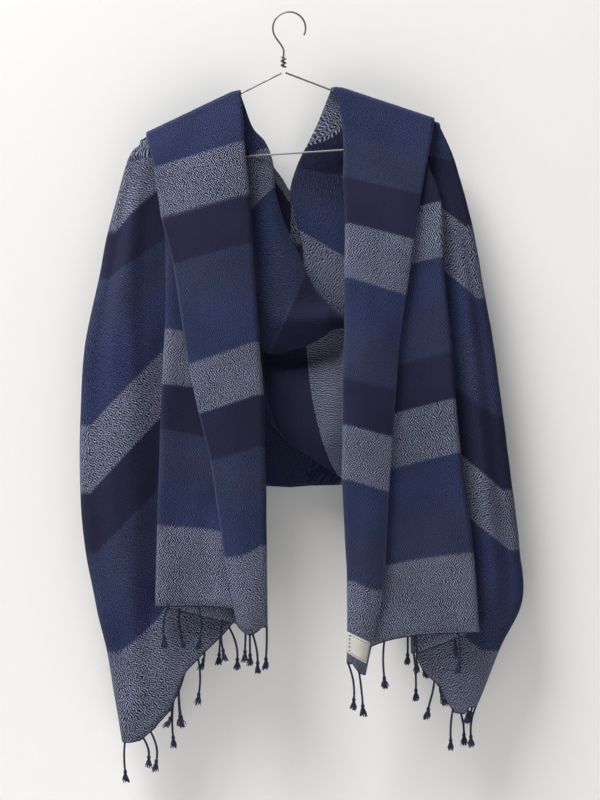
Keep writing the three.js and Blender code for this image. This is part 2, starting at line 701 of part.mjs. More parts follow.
// Pulls the first and last points of each row inward by half a seam.
function parted(rows, first, last) {
  const pulled = (point, next) => {
    const toward = next.clone().sub(point).normalize();
    return point.clone().addScaledVector(toward, SEAM / 2);
  };
  return rows.map((row) => {
    const copy = [...row];
    const end = row.length - 1;
    if (first) {
      copy[0] = pulled(row[0], row[1]);
    }
    if (last) {
      copy[end] = pulled(row[end], row[end - 1]);
    }
    return copy;
  });
}

function addEnd(side, end, hand, sag) {
  const section = (piece) => (fall) => endSection(end, hand, sag, fall)[piece];
  const lapel = fallRows(section('lapel'), outerCrest);
  const front = fallRows(section('front'));
  const drape = fallRows((fall) => {
    const part = BACK.sidePart;
    const rear = hand < 0
      ? capeRow(0, part, 3, fall)
      : capeRow(1, 1 - part, 3, fall);
    return [...section('side')(fall), ...rear];
  }, sideCrest);
  const pieces = {
    lapel: parted(lapel, false, true),
    front: parted(front, true, true),
    side: parted(drape, true, true),
  };
  const colours = { lapel: COLOURS.blue, front: COLOURS.slate, side: COLOURS.navy };
  for (const [piece, rows] of Object.entries(pieces)) {
    const name = `${side}_${piece}`;
    add(name, wall(rows), colours[piece]);
    add(`${name}_fringe`, fringe(rows[rows.length - 1], STRANDS[name]), COLOURS.cord);
  }
  return pieces.lapel;
}

addEnd('left', LEFT_END, -1, { ...HEM_SAG.left, drape: DRAPE_SAG.left });
const rightLapel = addEnd('right', RIGHT_END, 1, { ...HEM_SAG.right, drape: DRAPE_SAG.right });

const cape = fallRows(
  (fall) => capeRow(BACK.sidePart, 1 - BACK.sidePart, BACK.columns, fall),
  necklineCrest,
);
add('back_panel', wall(parted(cape, true, true)), COLOURS.slate);
const lowerEdge = cape[cape.length - 1];
const backHems = {
  left_back: lowerEdge.filter((point) => point.x < HEM_CORNERS.left),
  right_back: lowerEdge.filter((point) => point.x > HEM_CORNERS.right),
};
for (const [name, hem] of Object.entries(backHems)) {
  add(`${name}_fringe`, fringe(hem, STRANDS[name]), COLOURS.cord);
}
add('cowl_left', swag(COWL_LEFT, ROLLED_SECTION, SWAG_ROWS + 4), COLOURS.blue);
add('cowl_right', swag(COWL_RIGHT, ROLLED_SECTION, SWAG_ROWS), COLOURS.white);
add('cowl_lower', swag(COWL_LOWER, TUCKED_SECTION, SWAG_ROWS - 6), COLOURS.navy);

add('label', wall(labelGrid(rightLapel), LABEL.thickness), COLOURS.label);

add('hanger_hook', hookWire(), COLOURS.wire, 0.35, 0.9);
add('hanger_neck_twist', neckTwist(), COLOURS.wire, 0.35, 0.9);
add('hanger_left_arm', armWire(LEFT_BEND, -1), COLOURS.wire, 0.35, 0.9);
add('hanger_right_arm', armWire(RIGHT_BEND, 1), COLOURS.wire, 0.35, 0.9);
add('hanger_bar', barWire(), COLOURS.wire, 0.35, 0.9);

export default scarf;
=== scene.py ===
"""A fringed cotton scarf draped over a wire hanger, its collar turned out like a shawl."""
import math
import random

import bpy
import numpy as np
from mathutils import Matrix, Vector


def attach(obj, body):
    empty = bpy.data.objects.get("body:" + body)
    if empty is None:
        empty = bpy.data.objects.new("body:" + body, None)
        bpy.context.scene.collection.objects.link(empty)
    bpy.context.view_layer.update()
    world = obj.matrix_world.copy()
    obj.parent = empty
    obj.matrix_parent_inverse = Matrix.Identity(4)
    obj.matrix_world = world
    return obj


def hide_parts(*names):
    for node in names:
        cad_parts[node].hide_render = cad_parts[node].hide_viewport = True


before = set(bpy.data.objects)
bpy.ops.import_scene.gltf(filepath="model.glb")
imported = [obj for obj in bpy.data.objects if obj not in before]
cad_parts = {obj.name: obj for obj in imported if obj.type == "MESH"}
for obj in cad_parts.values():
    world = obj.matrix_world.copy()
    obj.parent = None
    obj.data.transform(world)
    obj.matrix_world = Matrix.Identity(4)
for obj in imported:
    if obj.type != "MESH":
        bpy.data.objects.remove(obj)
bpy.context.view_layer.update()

MM = 0.001
CLOTH = 1.6  # mm, thickness of the cloth wall
SEAM = 0.3  # mm, gap between neighbouring pieces

# ---- Shape tables, in mm: the same fold lines as the solids -----------------
# One row for each weft line where the stripe changes, from the shoulder down to the hem:
# woven distance from the hem, then [x, z] of the selvedge, the collar fold, the fold of the
# front fall, the hidden inner fold and the side fold.
LEFT_END = [
    (665, (-179, -150), (-62, -95), (-142, -132), (-106, -115), (-187, -158)),
    (602, (-169, -194), (-57, -162), (-156, -190), (-112, -165), (-203, -186)),
    (535, (-159, -259), (-50, -230), (-158, -244), (-122, -212), (-227, -275)),
    (476, (-145, -315), (-46, -289), (-154, -290), (-124, -262), (-238, -332)),
    (414, (-135, -379), (-42, -351), (-153, -343), (-121, -319), (-256, -415)),
    (352, (-125, -440), (-38, -412), (-154, -396), (-116, -382), (-262, -516)),
    (287, (-112, -502), (-33, -478), (-158, -465), (-109, -454), (-262, -601)),
    (222, (-98, -560), (-31, -542), (-160, -521), (-97, -533), (-255, -675)),
    (162, (-89, -619), (-30, -602), (-162, -581), (-84, -598), (-242, -740)),
    (102, (-80, -679), (-29, -664), (-164, -640), (-74, -664), (-228, -800)),
    (0, (-65, -761), (-28, -763), (-166, -739), (-65, -761), (-209, -910)),
]
RIGHT_END = [
    (714, (180, -132), (55, -91), (165, -129), (130, -115), (187, -137)),
    (601, (163, -228), (66, -206), (171, -188), (138, -170), (205, -184)),
    (541, (154, -286), (69, -266), (188, -238), (142, -212), (228, -268)),
    (475, (144, -354), (68, -332), (190, -306), (146, -284), (244, -357)),
    (412, (136, -411), (68, -396), (195, -365), (149, -359), (255, -421)),
    (350, (131, -471), (66, -458), (201, -424), (151, -431), (266, -503)),
    (294, (127, -529), (66, -514), (205, -482), (151, -502), (278, -595)),
    (225, (122, -598), (65, -583), (211, -550), (151, -575), (287, -672)),
    (163, (119, -659), (68, -646), (219, -612), (151, -643), (290, -734)),
    (101, (114, -719), (71, -706), (227, -672), (151, -706), (262, -796)),
    (0, (93, -822), (71, -808), (234, -771), (151, -798), (233, -866)),
]
FOLDS = ("selvedge", "collar", "front", "inner", "side")
# Depth of the lapel, the front fall, the tuck behind it, the side drape and the rear, by level.
DEPTHS = np.array([
    (-11, -8, -5.5, -3.2, 3.2),
    (-23, -14.5, -9.5, -5, 8),
    (-30, -19, -12.5, -6.5, 12),
    (-35, -23, -15, -7.5, 15),
    (-38, -26, -17, -8.5, 17),
    (-41, -28, -18, -9, 18),
    (-43, -29.5, -19, -9.5, 18),
    (-44, -30, -19.5, -10, 18),
    (-45, -31, -20, -10, 17),
    (-46, -32, -21, -10, 15),
    (-46, -33, -22, -10, 10),
])
LAYERS = ("lapel", "front", "tuck", "drape", "rear")
# How far each collar fold bows outward between the shoulder and the next weft line.
# In this and the tables below, -1 is the left end and 1 the right end.
COLLAR_BOW = {-1: 0, 1: 6}
HEM_SAG = {-1: dict(lapel=10, front=-14), 1: dict(lapel=3, front=-17)}
FRONT_SKEW = 0.6
DRAPE_SAG = {  # by the share of the way from the inner fold to the side fold
    -1: [(0, 0), (0.1, 0), (0.25, -4), (0.45, -8), (0.5, -4), (0.6, 18), (0.8, 16), (0.9, 12), (1, 0)],
    1: [(0, 0), (0.08, 10), (0.2, 14), (0.43, 11), (0.55, 21), (0.73, 25), (0.92, 14), (1, 0)],
}
SAG_START = 0.8
ARCH_OUTER, ARCH_INNER, ARCH_SLIT = 6.5, 3.6, 0.5
ARCH_SHARE, ARCH_LENGTH = 0.015, 10  # the cloth over the arm, as a share of the fall and in mm
COLLAR_CORNERS = (-62, 55)
CORNER_WEAR, CORNER_REACH = 2.6, 12
NECK_CORNERS = (-65, 55)
LAPEL_CURL, LAPEL_CROWN, FRONT_WAVE, DRAPE_SWELL = 4, 3, 2.2, 13
NECK_X, NECK_Z = -8, -74
ARM_SLOPE = {-1: 0.503, 1: -0.382}
NECKLINE = [(-187, -158), (-65, -95), (-50, -150), (-33, -180), (-20, -193), (-10, -206),
            (-1, -222), (10, -212), (24, -182), (38, -146), (55, -91), (187, -137)]
LOWER_EDGE = [(-209, -910), (-192, -906), (-178, -895), (-147, -852), (-136, -818), (-111, -794),
              (-92, -750), (-74, -678), (-38, -592), (0, -594), (27, -592), (74, -591),
              (104, -676), (131, -755), (152, -771), (174, -808), (192, -840), (215, -864),
              (233, -866)]
HEM_CORNERS = (-84, 124)
BACK_DEPTH = [(0, 9), (7, 9.2), (40, 13.5), (80, 18), (120, 21.5), (160, 24.5), (220, 27),
              (320, 28), (500, 28), (840, 22)]
BACK_SIDE_PART, BACK_BLEND, BACK_WAVES, BACK_WAVE_HEIGHT = 0.1, 0.16, 2.5, 3
# Woven distance down the middle of the back, at the neckline and at the lower selvedge.
MIDDLE_TOP, MIDDLE_LOW = 560, 175

# Swags: [x, z] of the rolled neck edge and of the lower edge, depth, belly and turn of the edges.
COWL_LEFT = [
    (-66, -103.4, -97, -119.2, -4, 0, 0.2), (-65, -98.6, -98, -115.4, 0, 0, 0.2),
    (-61, -106, -100, -125, 4.6, 0.2, 0.6), (-48, -142, -98, -175, 7.5, 3, 2.5),
    (-32, -161, -94, -215, 8, 4, 3), (-22, -187, -90, -262, 7, 7, 4),
    (-18, -225, -83, -312, 6, 11, 4), (-8, -260, -74, -352, 5, 14, 4.5),
    (4, -288, -58, -392, 4.5, 15, 4.5), (19, -321, -28, -425, 4.5, 14, 4.5),
    (32, -346, 2, -421, 4.5, 11, 4.5), (47, -363, 30, -411, 4.5, 8, 4),
    (60, -375, 53, -396, 4.5, 5, 3), (78, -380, 76, -392, 4.5, 3, 2),
]
COWL_RIGHT = [
    (53, -98.5, 92, -113.5, -4, 0, 0.2), (52, -93.8, 92, -109, 0, 0, 0.2),
    (50, -101, 94, -119, 4.6, 0.2, 0.6), (38, -131, 96, -154, 7.5, 2, 2),
    (25, -158, 97, -187, 9, 3, 3), (11, -187, 97, -222, 12.5, 1.5, 3),
    (1, -221, 97, -259, 15, 1.5, 3), (8, -254, 94, -297, 15, 2.5, 3.5),
    (17, -296, 91, -345, 15, 3, 4), (22, -380, 86, -396, 17, 1, 3),
]
COWL_LOWER = [
    (-62, -404, -62, -468, 7, 6, 3), (-40, -408, -32, -503, 7, 10, 3),
    (-20, -408, -3, -535, 7, 12, 3), (2, -402, 27, -556, 7, 13, 3),
    (28, -394, 56, -575, 7, 12, 3), (50, -385, 77, -590, 7, 9, 3),
    (78, -380, 97, -604, 7, 6, 3),
]
# Sections across a swag: share of the way, of the belly and of the turn.
ROLLED_SECTION = [
    (0.07, 0, 1), (0, 0, 0.45), (0.03, 0.35, 0), (0.13, 0.7, 0), (0.3, 0.95, 0), (0.5, 1, 0),
    (0.7, 0.93, 0), (0.88, 0.72, 0), (0.975, 0.42, 0), (1, 0.28, 0.45), (0.94, 0.1, 1),
]
TUCKED_SECTION = [
    (0, 0, 1.8), (0.2, 0, 1.7), (0.34, 0.3, 0.6), (0.48, 0.75, 0), (0.65, 1, 0),
    (0.82, 0.92, 0), (0.95, 0.5, 0), (1, 0, 0.4), (0.96, 0, 1.1),
]

# ---- Stripes: (kind, woven length in mm) from the first edge on -------------
# W mixed white and navy, B bright blue, S slate blue, N dark navy.
LEFT_STRIPES = [("W", 102), ("B", 60), ("S", 60), ("N", 65), ("W", 65), ("B", 62), ("S", 62),
                ("N", 59), ("W", 67), ("B", 63), ("S", 62), ("N", 60)]
RIGHT_STRIPES = [("W", 101), ("S", 62), ("B", 62), ("W", 69), ("N", 56), ("S", 62), ("B", 63),
                 ("W", 66), ("N", 60), ("S", 60), ("B", 60), ("W", 65)]
COWL_LEFT_STRIPES = [("B", 74), ("W", 60), ("B", 62), ("S", 70), ("N", 200)]
COWL_RIGHT_STRIPES = [("W", 93), ("N", 26), ("S", 38), ("B", 42), ("W", 200)]
COWL_LOWER_STRIPES = [("S", 30), ("N", 62), ("W", 65), ("B", 60)]
# How the stripes lean across each swag: woven length added at the neck edge and at the low edge,
# the power that it grows with, the shares of the swag's length where it is whole, its fade, and
# how far the selvedge turns with it.
STRIPE_LEAN = {
    "cowl_left": (-26, 0, 1.5, 0.24, 0.36, 0.24, 0),
    "cowl_right": (0, 130, 1.3, -1, 0.2, 0.5, 0.7),
    "cowl_lower": (-10, -45, 3.5, -1, 2, 0.1, 0.15),
}
# Length of cloth taken up in the side fold at the shoulder.
SHOULDER_TAKE = {-1: 78, 1: 0}
# How far the top of the navy stripe bows up on the side drape.
NAVY_BOW = {-1: 19, 1: 0}
BOW_LEVEL, BOW_SPREAD = 1.75, 0.6  # where it lies and how far it reaches, in weft lines
STRAIGHT_COLUMNS = 20  # columns round the side fold and behind it, which don't bow

# Fringe: for each hem, place along it, drop to the knot and sideways swing of the knot.
STRANDS = {
    "left_lapel": [(0.42, 36, 7), (0.9, 41, -1)],
    "left_front": [(0.083, 50, 0), (0.107, 48, -1), (0.357, 41, 2), (0.505, 39, -6),
                   (0.72, 34, 3), (0.95, 37, 0)],
    "left_side": [(0.085, 40, 11), (0.225, 10, -1), (0.26, 45, 1), (0.4, 38, 3), (0.47, 43, 0),
                  (0.5, 11, 0), (0.62, 37, 8), (0.66, 24, 8), (0.79, 40, 0)],
    "right_lapel": [(0.28, 43, 5), (0.85, 46, 8)],
    "right_front": [(0.19, 46, 0), (0.35, 35, 0), (0.55, 38, 2), (0.8, 12, 1)],
    "right_side": [(0.05, 48, 3), (0.27, 35, -8), (0.32, 11, 2), (0.47, 38, -3), (0.58, 10, -1),
                   (0.66, 39, -7), (0.72, 10, 0), (0.8, 40, 9)],
    "left_back": [(0.2, 30, 2), (0.97, 50, 0)],
    "right_back": [(0.3, 30, 0), (0.75, 10, -1)],
}

# ---- Curves through the tables ----------------------------------------------


def spline(values, place):
    """Catmull-Rom through evenly numbered values."""
    last = len(values) - 1
    i = min(int(place), last - 1)
    t = place - i
    before = values[i - 1] if i > 0 else 2 * values[0] - values[1]
    after = values[i + 2] if i + 2 <= last else 2 * values[last] - values[last - 1]
    a, b = 2 * values[i], values[i + 1] - before
    c = 2 * before - 5 * values[i] + 4 * values[i + 1] - after
    d = -before + 3 * values[i] - 3 * values[i + 1] + after
    return 0.5 * (a + b * t + c * t * t + d * t * t * t)


def read(table, x):
    xs, ys = zip(*table)
    return float(np.interp(x, xs, ys))


def mix(a, b, share):
    return a + (b - a) * share


def smooth(low, high, x):
    t = np.clip((x - low) / (high - low), 0, 1)
    return t * t * (3 - 2 * t)


def end_arrays(table):
    """Columns of an end's table as arrays, with the shoulder lowered to the spring of the arch."""
    arrays = {"woven": np.array([float(row[0]) for row in table])}
    for k, name in enumerate(FOLDS):
        line = np.array([row[k + 1] for row in table], float)
        line[0, 1] -= ARCH_OUTER
        arrays[name] = line
    return arrays


ENDS = {-1: end_arrays(LEFT_END), 1: end_arrays(RIGHT_END)}


def fold_line(end, name, fall):
    return spline(end[name], fall * (len(end[name]) - 1))


def woven(end, fall):
    """Distance from the hem along the cloth."""
    levels = end["woven"]
    return float(np.interp(fall * (len(levels) - 1), range(len(levels)), levels))


def layer_depths(fall):
    return dict(zip(LAYERS, spline(DEPTHS, fall * (len(DEPTHS) - 1))))


# ---- The two ends -----------------------------------------------------------


def stretch(start, stop, depth, steps, bend=None):
    points = []
    for i in range(steps + 1):
        u = i / steps
        y, z = bend(u) if bend else (0, 0)
        points.append((mix(start[0], stop[0], u), depth + y, mix(start[1], stop[1], u) + z))
    return points


def fold(line, depth_from, depth_to, outward, steps):
    radius = abs(depth_to - depth_from) / 2
    middle = (depth_from + depth_to) / 2
    points = []
    for i in range(1, steps):
        angle = math.pi * i / steps
        x = line[0] - outward * radius * (1 - math.sin(angle))
        points.append((x, middle + (depth_from - middle) * math.cos(angle), line[1]))
    return points


def fold_start(line, depth_from, depth_to, outward):
    return (line[0] - outward * abs(depth_to - depth_from) / 2, line[1])


def end_section(hand, fall):
    """The section of one end, split into its three pieces, each a list of points."""
    end, sag = ENDS[hand], HEM_SAG[hand]
    line = {name: fold_line(end, name, fall) for name in FOLDS}
    bow = math.sin(math.pi * min(fall * (len(LEFT_END) - 1), 1) ** 0.7)
    line["collar"] = line["collar"] + (hand * COLLAR_BOW[hand] * bow, 0)
    y = layer_depths(fall)
    opened = smooth(0, 0.35, fall)
    drop = smooth(SAG_START, 1, fall)
    inward = -hand
    lapel_end = fold_start(line["collar"], y["lapel"], y["front"], inward)
    lapel = stretch(line["selvedge"], lapel_end, y["lapel"], 26, lambda u: (
        LAPEL_CURL * opened * (1 - u) ** 2 - LAPEL_CROWN * opened * math.sin(math.pi * u),
        -sag["lapel"] * drop * math.sin(math.pi * u)))
    collar_fold = fold(line["collar"], y["lapel"], y["front"], inward, 8)
    front_end = fold_start(line["front"], y["front"], y["tuck"], hand)
    front = stretch(lapel_end, front_end, y["front"], 26, lambda u: (
        -FRONT_WAVE * opened * math.sin(2 * math.pi * u),
        -sag["front"] * drop * math.sin(math.pi * u ** FRONT_SKEW)))
    front_fold = fold(line["front"], y["front"], y["tuck"], hand, 8)
    tuck_end = fold_start(line["inner"], y["tuck"], y["drape"], inward)
    tuck = stretch(front_end, tuck_end, y["tuck"], 6)
    inner_fold = fold(line["inner"], y["tuck"], y["drape"], inward, 6)
    drape_end = fold_start(line["side"], y["drape"], y["rear"], hand)

    def drape_bend(u):
        outside = hand * (mix(tuck_end[0], drape_end[0], u) - line["front"][0])
        swell = smooth(4, 45, outside) * (1 - smooth(0.75, 1, u))
        return (-DRAPE_SWELL * opened * swell,
                -drop * read(DRAPE_SAG[hand], u))

    drape = stretch(tuck_end, drape_end, y["drape"], 44, drape_bend)
    side_fold = fold(line["side"], y["drape"], y["rear"], hand, 8)
    return {"lapel": lapel + collar_fold, "front": front + front_fold + tuck,
            "side": inner_fold + drape + side_fold}


def slit_depth(y):
    return ARCH_SLIT if y >= 0 else -ARCH_SLIT


def outer_crest(point):
    """The crest of a lapel, worn a little lower at its corner beside the neck."""
    from_corner = min(abs(point[0] - corner) for corner in COLLAR_CORNERS)
    worn = CORNER_WEAR * (1 - smooth(0, CORNER_REACH, from_corner))
    return slit_depth(point[1]), ARCH_OUTER - worn


def side_crest(point):
    return slit_depth(point[1]), mix(ARCH_INNER, ARCH_OUTER, smooth(0, 4, point[1]))


def neckline_crest(point):
    inside = min(point[0] - NECK_CORNERS[0], NECK_CORNERS[1] - point[0])
    free = smooth(-14, -2, inside)
    return mix(ARCH_SLIT, point[1] - 1.5, free), ARCH_OUTER


def fall_rows(section, crest=None):
    """Rows of points down a piece, with the rows over the arm first, and their woven distances."""
    rows, falls = [], []
    if crest:
        springing = section(0)
        for k in range(ARCH_ROWS):
            angle = math.pi / 2 * (1 - k / ARCH_ROWS)
            row = []
            for point in springing:
                top_y, height = crest(point)
                y = top_y + (point[1] - top_y) * math.cos(angle)
                row.append((point[0], y, point[2] + height * math.sin(angle)))
            rows.append(row)
            falls.append(-(ARCH_ROWS - k) / ARCH_ROWS * ARCH_SHARE)
    for r in range(FALL_ROWS):
        fall = r / (FALL_ROWS - 1)
        rows.append(section(fall))
        falls.append(fall)
    return np.array(rows, float), np.array(falls)


ARCH_ROWS = 7
FALL_ROWS = 112


# ---- The back ---------------------------------------------------------------


def wire_height(x):
    return NECK_Z + ARM_SLOPE[-1 if x < NECK_X else 1] * (x - NECK_X)


def cape_row(start, stop, columns, fall):
    """Columns of the back between two shares of the way from the left side fold to the right."""
    left, right = (fold_line(ENDS[hand], "side", fall) for hand in (-1, 1))
    tops = [ENDS[hand]["side"][0] for hand in (-1, 1)]
    hems = [ENDS[hand]["side"][-1] for hand in (-1, 1)]
    depths = layer_depths(fall)
    radius = (depths["rear"] - depths["drape"]) / 2
    share_left = (left[1] - tops[0][1]) / (hems[0][1] - tops[0][1])
    share_right = (right[1] - tops[1][1]) / (hems[1][1] - tops[1][1])
    points = []
    for c in range(columns + 1):
        across = mix(start, stop, c / columns)
        x = mix(left[0] + radius, right[0] - radius, across)
        share = mix(share_left, share_right, across)
        high = read(NECKLINE, mix(tops[0][0], tops[1][0], across)) - ARCH_OUTER
        low = read(LOWER_EDGE, mix(hems[0][0], hems[1][0], across))
        z = mix(high, low, share)
        below = max(0, wire_height(x) - z)
        waves = BACK_WAVE_HEIGHT * smooth(150, 320, below) * math.sin(math.pi * across)
        depth = read(BACK_DEPTH, below) + waves * math.sin(2 * math.pi * BACK_WAVES * share)
        from_side = min(across, 1 - across)
        points.append((x, mix(depths["rear"], depth, smooth(0, BACK_BLEND, from_side)), z))
    return points


def back_woven(across, fall):
    """Distance from the nearer hem along the cloth, for a place on the back."""
    hand = -1 if across < 0.5 else 1
    side = min(across, 1 - across)
    start = mix(0.0, 0.26, smooth(0.4, 1, fall))
    middle = smooth(start, 0.5, side)
    from_hem = woven(ENDS[hand], fall) - shoulder_take(hand, fall)
    return mix(from_hem, mix(MIDDLE_TOP, MIDDLE_LOW, fall), middle)


def shoulder_take(hand, fall):
    """Length of cloth taken up in the side fold above the first weft line."""
    return SHOULDER_TAKE[hand] * (1 - min(fall * (len(LEFT_END) - 1), 1))


# ---- Closed shells from grids -----------------------------------------------


def grid_normals(grid):
    across = np.gradient(grid, axis=1)
    down = np.gradient(grid, axis=0)
    normal = np.cross(across, down)
    return normal / np.maximum(np.linalg.norm(normal, axis=2, keepdims=True), 1e-9)


def run_along(points):
    steps = np.linalg.norm(np.diff(points, axis=0), axis=1)
    return np.concatenate([[0], np.cumsum(steps)])


def row_lengths(grid):
    steps = np.linalg.norm(np.diff(grid, axis=1), axis=2)
    return np.concatenate([np.zeros((len(grid), 1)), np.cumsum(steps, axis=1)], axis=1)


def distance_to_stroke(x, z, points):
    """Distance to a polyline and the share of the way along it, for arrays of places."""
    points = np.array(points, float)
    lengths = np.linalg.norm(np.diff(points, axis=0), axis=1)
    total, run = lengths.sum(), 0.0
    best = np.full(x.shape, 1e9)
    along = np.zeros(x.shape)
    for a, b, length in zip(points[:-1], points[1:], lengths):
        step = (b - a) / length
        t = np.clip((x - a[0]) * step[0] + (z - a[1]) * step[1], 0, length)
        d = np.hypot(x - a[0] - t * step[0], z - a[1] - t * step[1])
        nearer = d < best
        best = np.where(nearer, d, best)
        along = np.where(nearer, (run + t) / total, along)
        run += length
    return best, along


def creased(grid, strokes, facing):
    """The grid with soft folds: each stroke is height, width and the [x, z] points it follows."""
    normal = grid_normals(grid)
    x, z = grid[..., 0], grid[..., 2]
    toward = np.clip(-normal[..., 1] * facing, 0, 1)
    push = np.zeros(x.shape)
    for height, width, points in strokes:
        d, along = distance_to_stroke(x, z, points)
        push += height * np.exp(-(d / width) ** 2) * np.sqrt(np.clip(np.sin(np.pi * along), 0, 1))
    moved = grid.copy()
    moved[..., 1] -= facing * push * toward
    return moved


def ripple(grid, seed, amount):
    """Slow unevenness of a hand-woven cloth, as a few long waves along the normals."""
    rng = random.Random(seed)
    x, z = grid[..., 0], grid[..., 2]
    height = np.zeros(x.shape)
    for _ in range(7):
        length = rng.uniform(38, 120)
        angle = rng.uniform(0, math.pi)
        phase = rng.uniform(0, 2 * math.pi)
        height += np.sin((x * math.cos(angle) + z * math.sin(angle)) / length * 2 * math.pi + phase)
    fade = smooth(0, 0.12, np.linspace(0, 1, len(grid)))[:, None]
    return grid + grid_normals(grid) * (height / 7 * amount * fade)[..., None]


def shell(name, grid, weave, material, thickness=CLOTH):
    """A closed thin shell round a grid of points in mm; weave is the grid's place on the cloth."""
    rows, cols = grid.shape[:2]
    normal = grid_normals(grid)
    skins = [grid + normal * thickness / 2, grid - normal * thickness / 2]
    verts = np.concatenate([skin.reshape(-1, 3) for skin in skins]) * MM
    skin = rows * cols
    r, c = np.meshgrid(np.arange(rows - 1), np.arange(cols - 1), indexing="ij")
    i = (r * cols + c).ravel()
    front = np.stack([i, i + cols, i + cols + 1, i + 1], axis=1)
    back = np.stack([skin + i, skin + i + 1, skin + i + cols + 1, skin + i + cols], axis=1)
    ring = list(range(cols)) + [k * cols + cols - 1 for k in range(1, rows)]
    ring += [(rows - 1) * cols + k for k in range(cols - 2, -1, -1)]
    ring += [k * cols for k in range(rows - 2, 0, -1)]
    ring = np.array(ring)
    after = np.roll(ring, -1)
    rim = np.stack([ring, after, skin + after, skin + ring], axis=1)
    faces = np.concatenate([front, back, rim])
    mesh = bpy.data.meshes.new(name)
    mesh.from_pydata(verts.tolist(), [], faces.tolist())
    flat = np.concatenate([weave.reshape(-1, 2)] * 2) * MM
    layer = mesh.uv_layers.new(name="weave")
    loops = np.zeros(len(mesh.loops), dtype=np.int32)
    mesh.loops.foreach_get("vertex_index", loops)
    layer.data.foreach_set("uv", flat[loops].ravel())
    return finished(name, mesh, material)


def placed(name, data):
    piece = bpy.data.objects.new(name, data)
    bpy.context.scene.collection.objects.link(piece)
    return piece


def finished(name, mesh, material):
    mesh.materials.append(material)
    mesh.polygons.foreach_set("use_smooth", [True] * len(mesh.polygons))
    mesh.update()
    piece = placed(name, mesh)
    turn_outward(mesh)
    return piece


def turn_outward(mesh):
    mesh.calc_loop_triangles()
    triangles = np.zeros(len(mesh.loop_triangles) * 3, dtype=np.int32)
    mesh.loop_triangles.foreach_get("vertices", triangles)
    points = np.zeros(len(mesh.vertices) * 3)
    mesh.vertices.foreach_get("co", points)
    a, b, c = points.reshape(-1, 3)[triangles.reshape(-1, 3)].transpose(1, 0, 2)
    if np.einsum("ij,ij->i", a, np.cross(b, c)).sum() < 0:
        mesh.flip_normals()


def tube(path, radii, sides):
    """Vertices and faces of a closed tube along a path of points in mm."""
    path = np.array(path, float)
    ahead = np.gradient(path, axis=0)
    ahead /= np.maximum(np.linalg.norm(ahead, axis=1, keepdims=True), 1e-9)
    side = np.cross(ahead, (0.0, 1.0, 0.0))
    short = np.linalg.norm(side, axis=1) < 0.2
    side[short] = np.cross(ahead[short], (1.0, 0.0, 0.0))
    side /= np.linalg.norm(side, axis=1, keepdims=True)
    up = np.cross(side, ahead)
    angles = np.arange(sides) * 2 * math.pi / sides
    rings = (path[:, None] + np.array(radii, float)[:, None, None]
             * (np.cos(angles)[None, :, None] * side[:, None]
                + np.sin(angles)[None, :, None] * up[:, None]))
    count = len(path)
    faces = []
    for r in range(count - 1):
        for s in range(sides):
            a, b = r * sides + s, r * sides + (s + 1) % sides
            faces.append((a, b, b + sides, a + sides))
    faces.append(tuple(range(sides - 1, -1, -1)))
    faces.append(tuple((count - 1) * sides + s for s in range(sides)))
    return rings.reshape(-1, 3), faces


# ---- Materials --------------------------------------------------------------

YARN = {  # dark yarn, light yarn and, as a grey, how much of the light one shows
    "W": ((0.007, 0.007, 0.024), (0.285, 0.312, 0.425), (0.95,) * 3),
    "B": ((0.010, 0.014, 0.043), (0.068, 0.090, 0.236), (0.5,) * 3),
    "S": ((0.012, 0.015, 0.041), (0.072, 0.096, 0.200), (0.5,) * 3),
    "N": ((0.010, 0.010, 0.030), (0.028, 0.027, 0.076), (0.5,) * 3),
}
SOFT_EDGE, CRISP_EDGE = 14, 0.4  # mm, how far a change of stripe reaches into each side
DASH_TURN, DASH_PITCH = 0.0039, 0.0031  # m, height of a herringbone row and its dashes' spacing
DASH_SLANT = 0.95


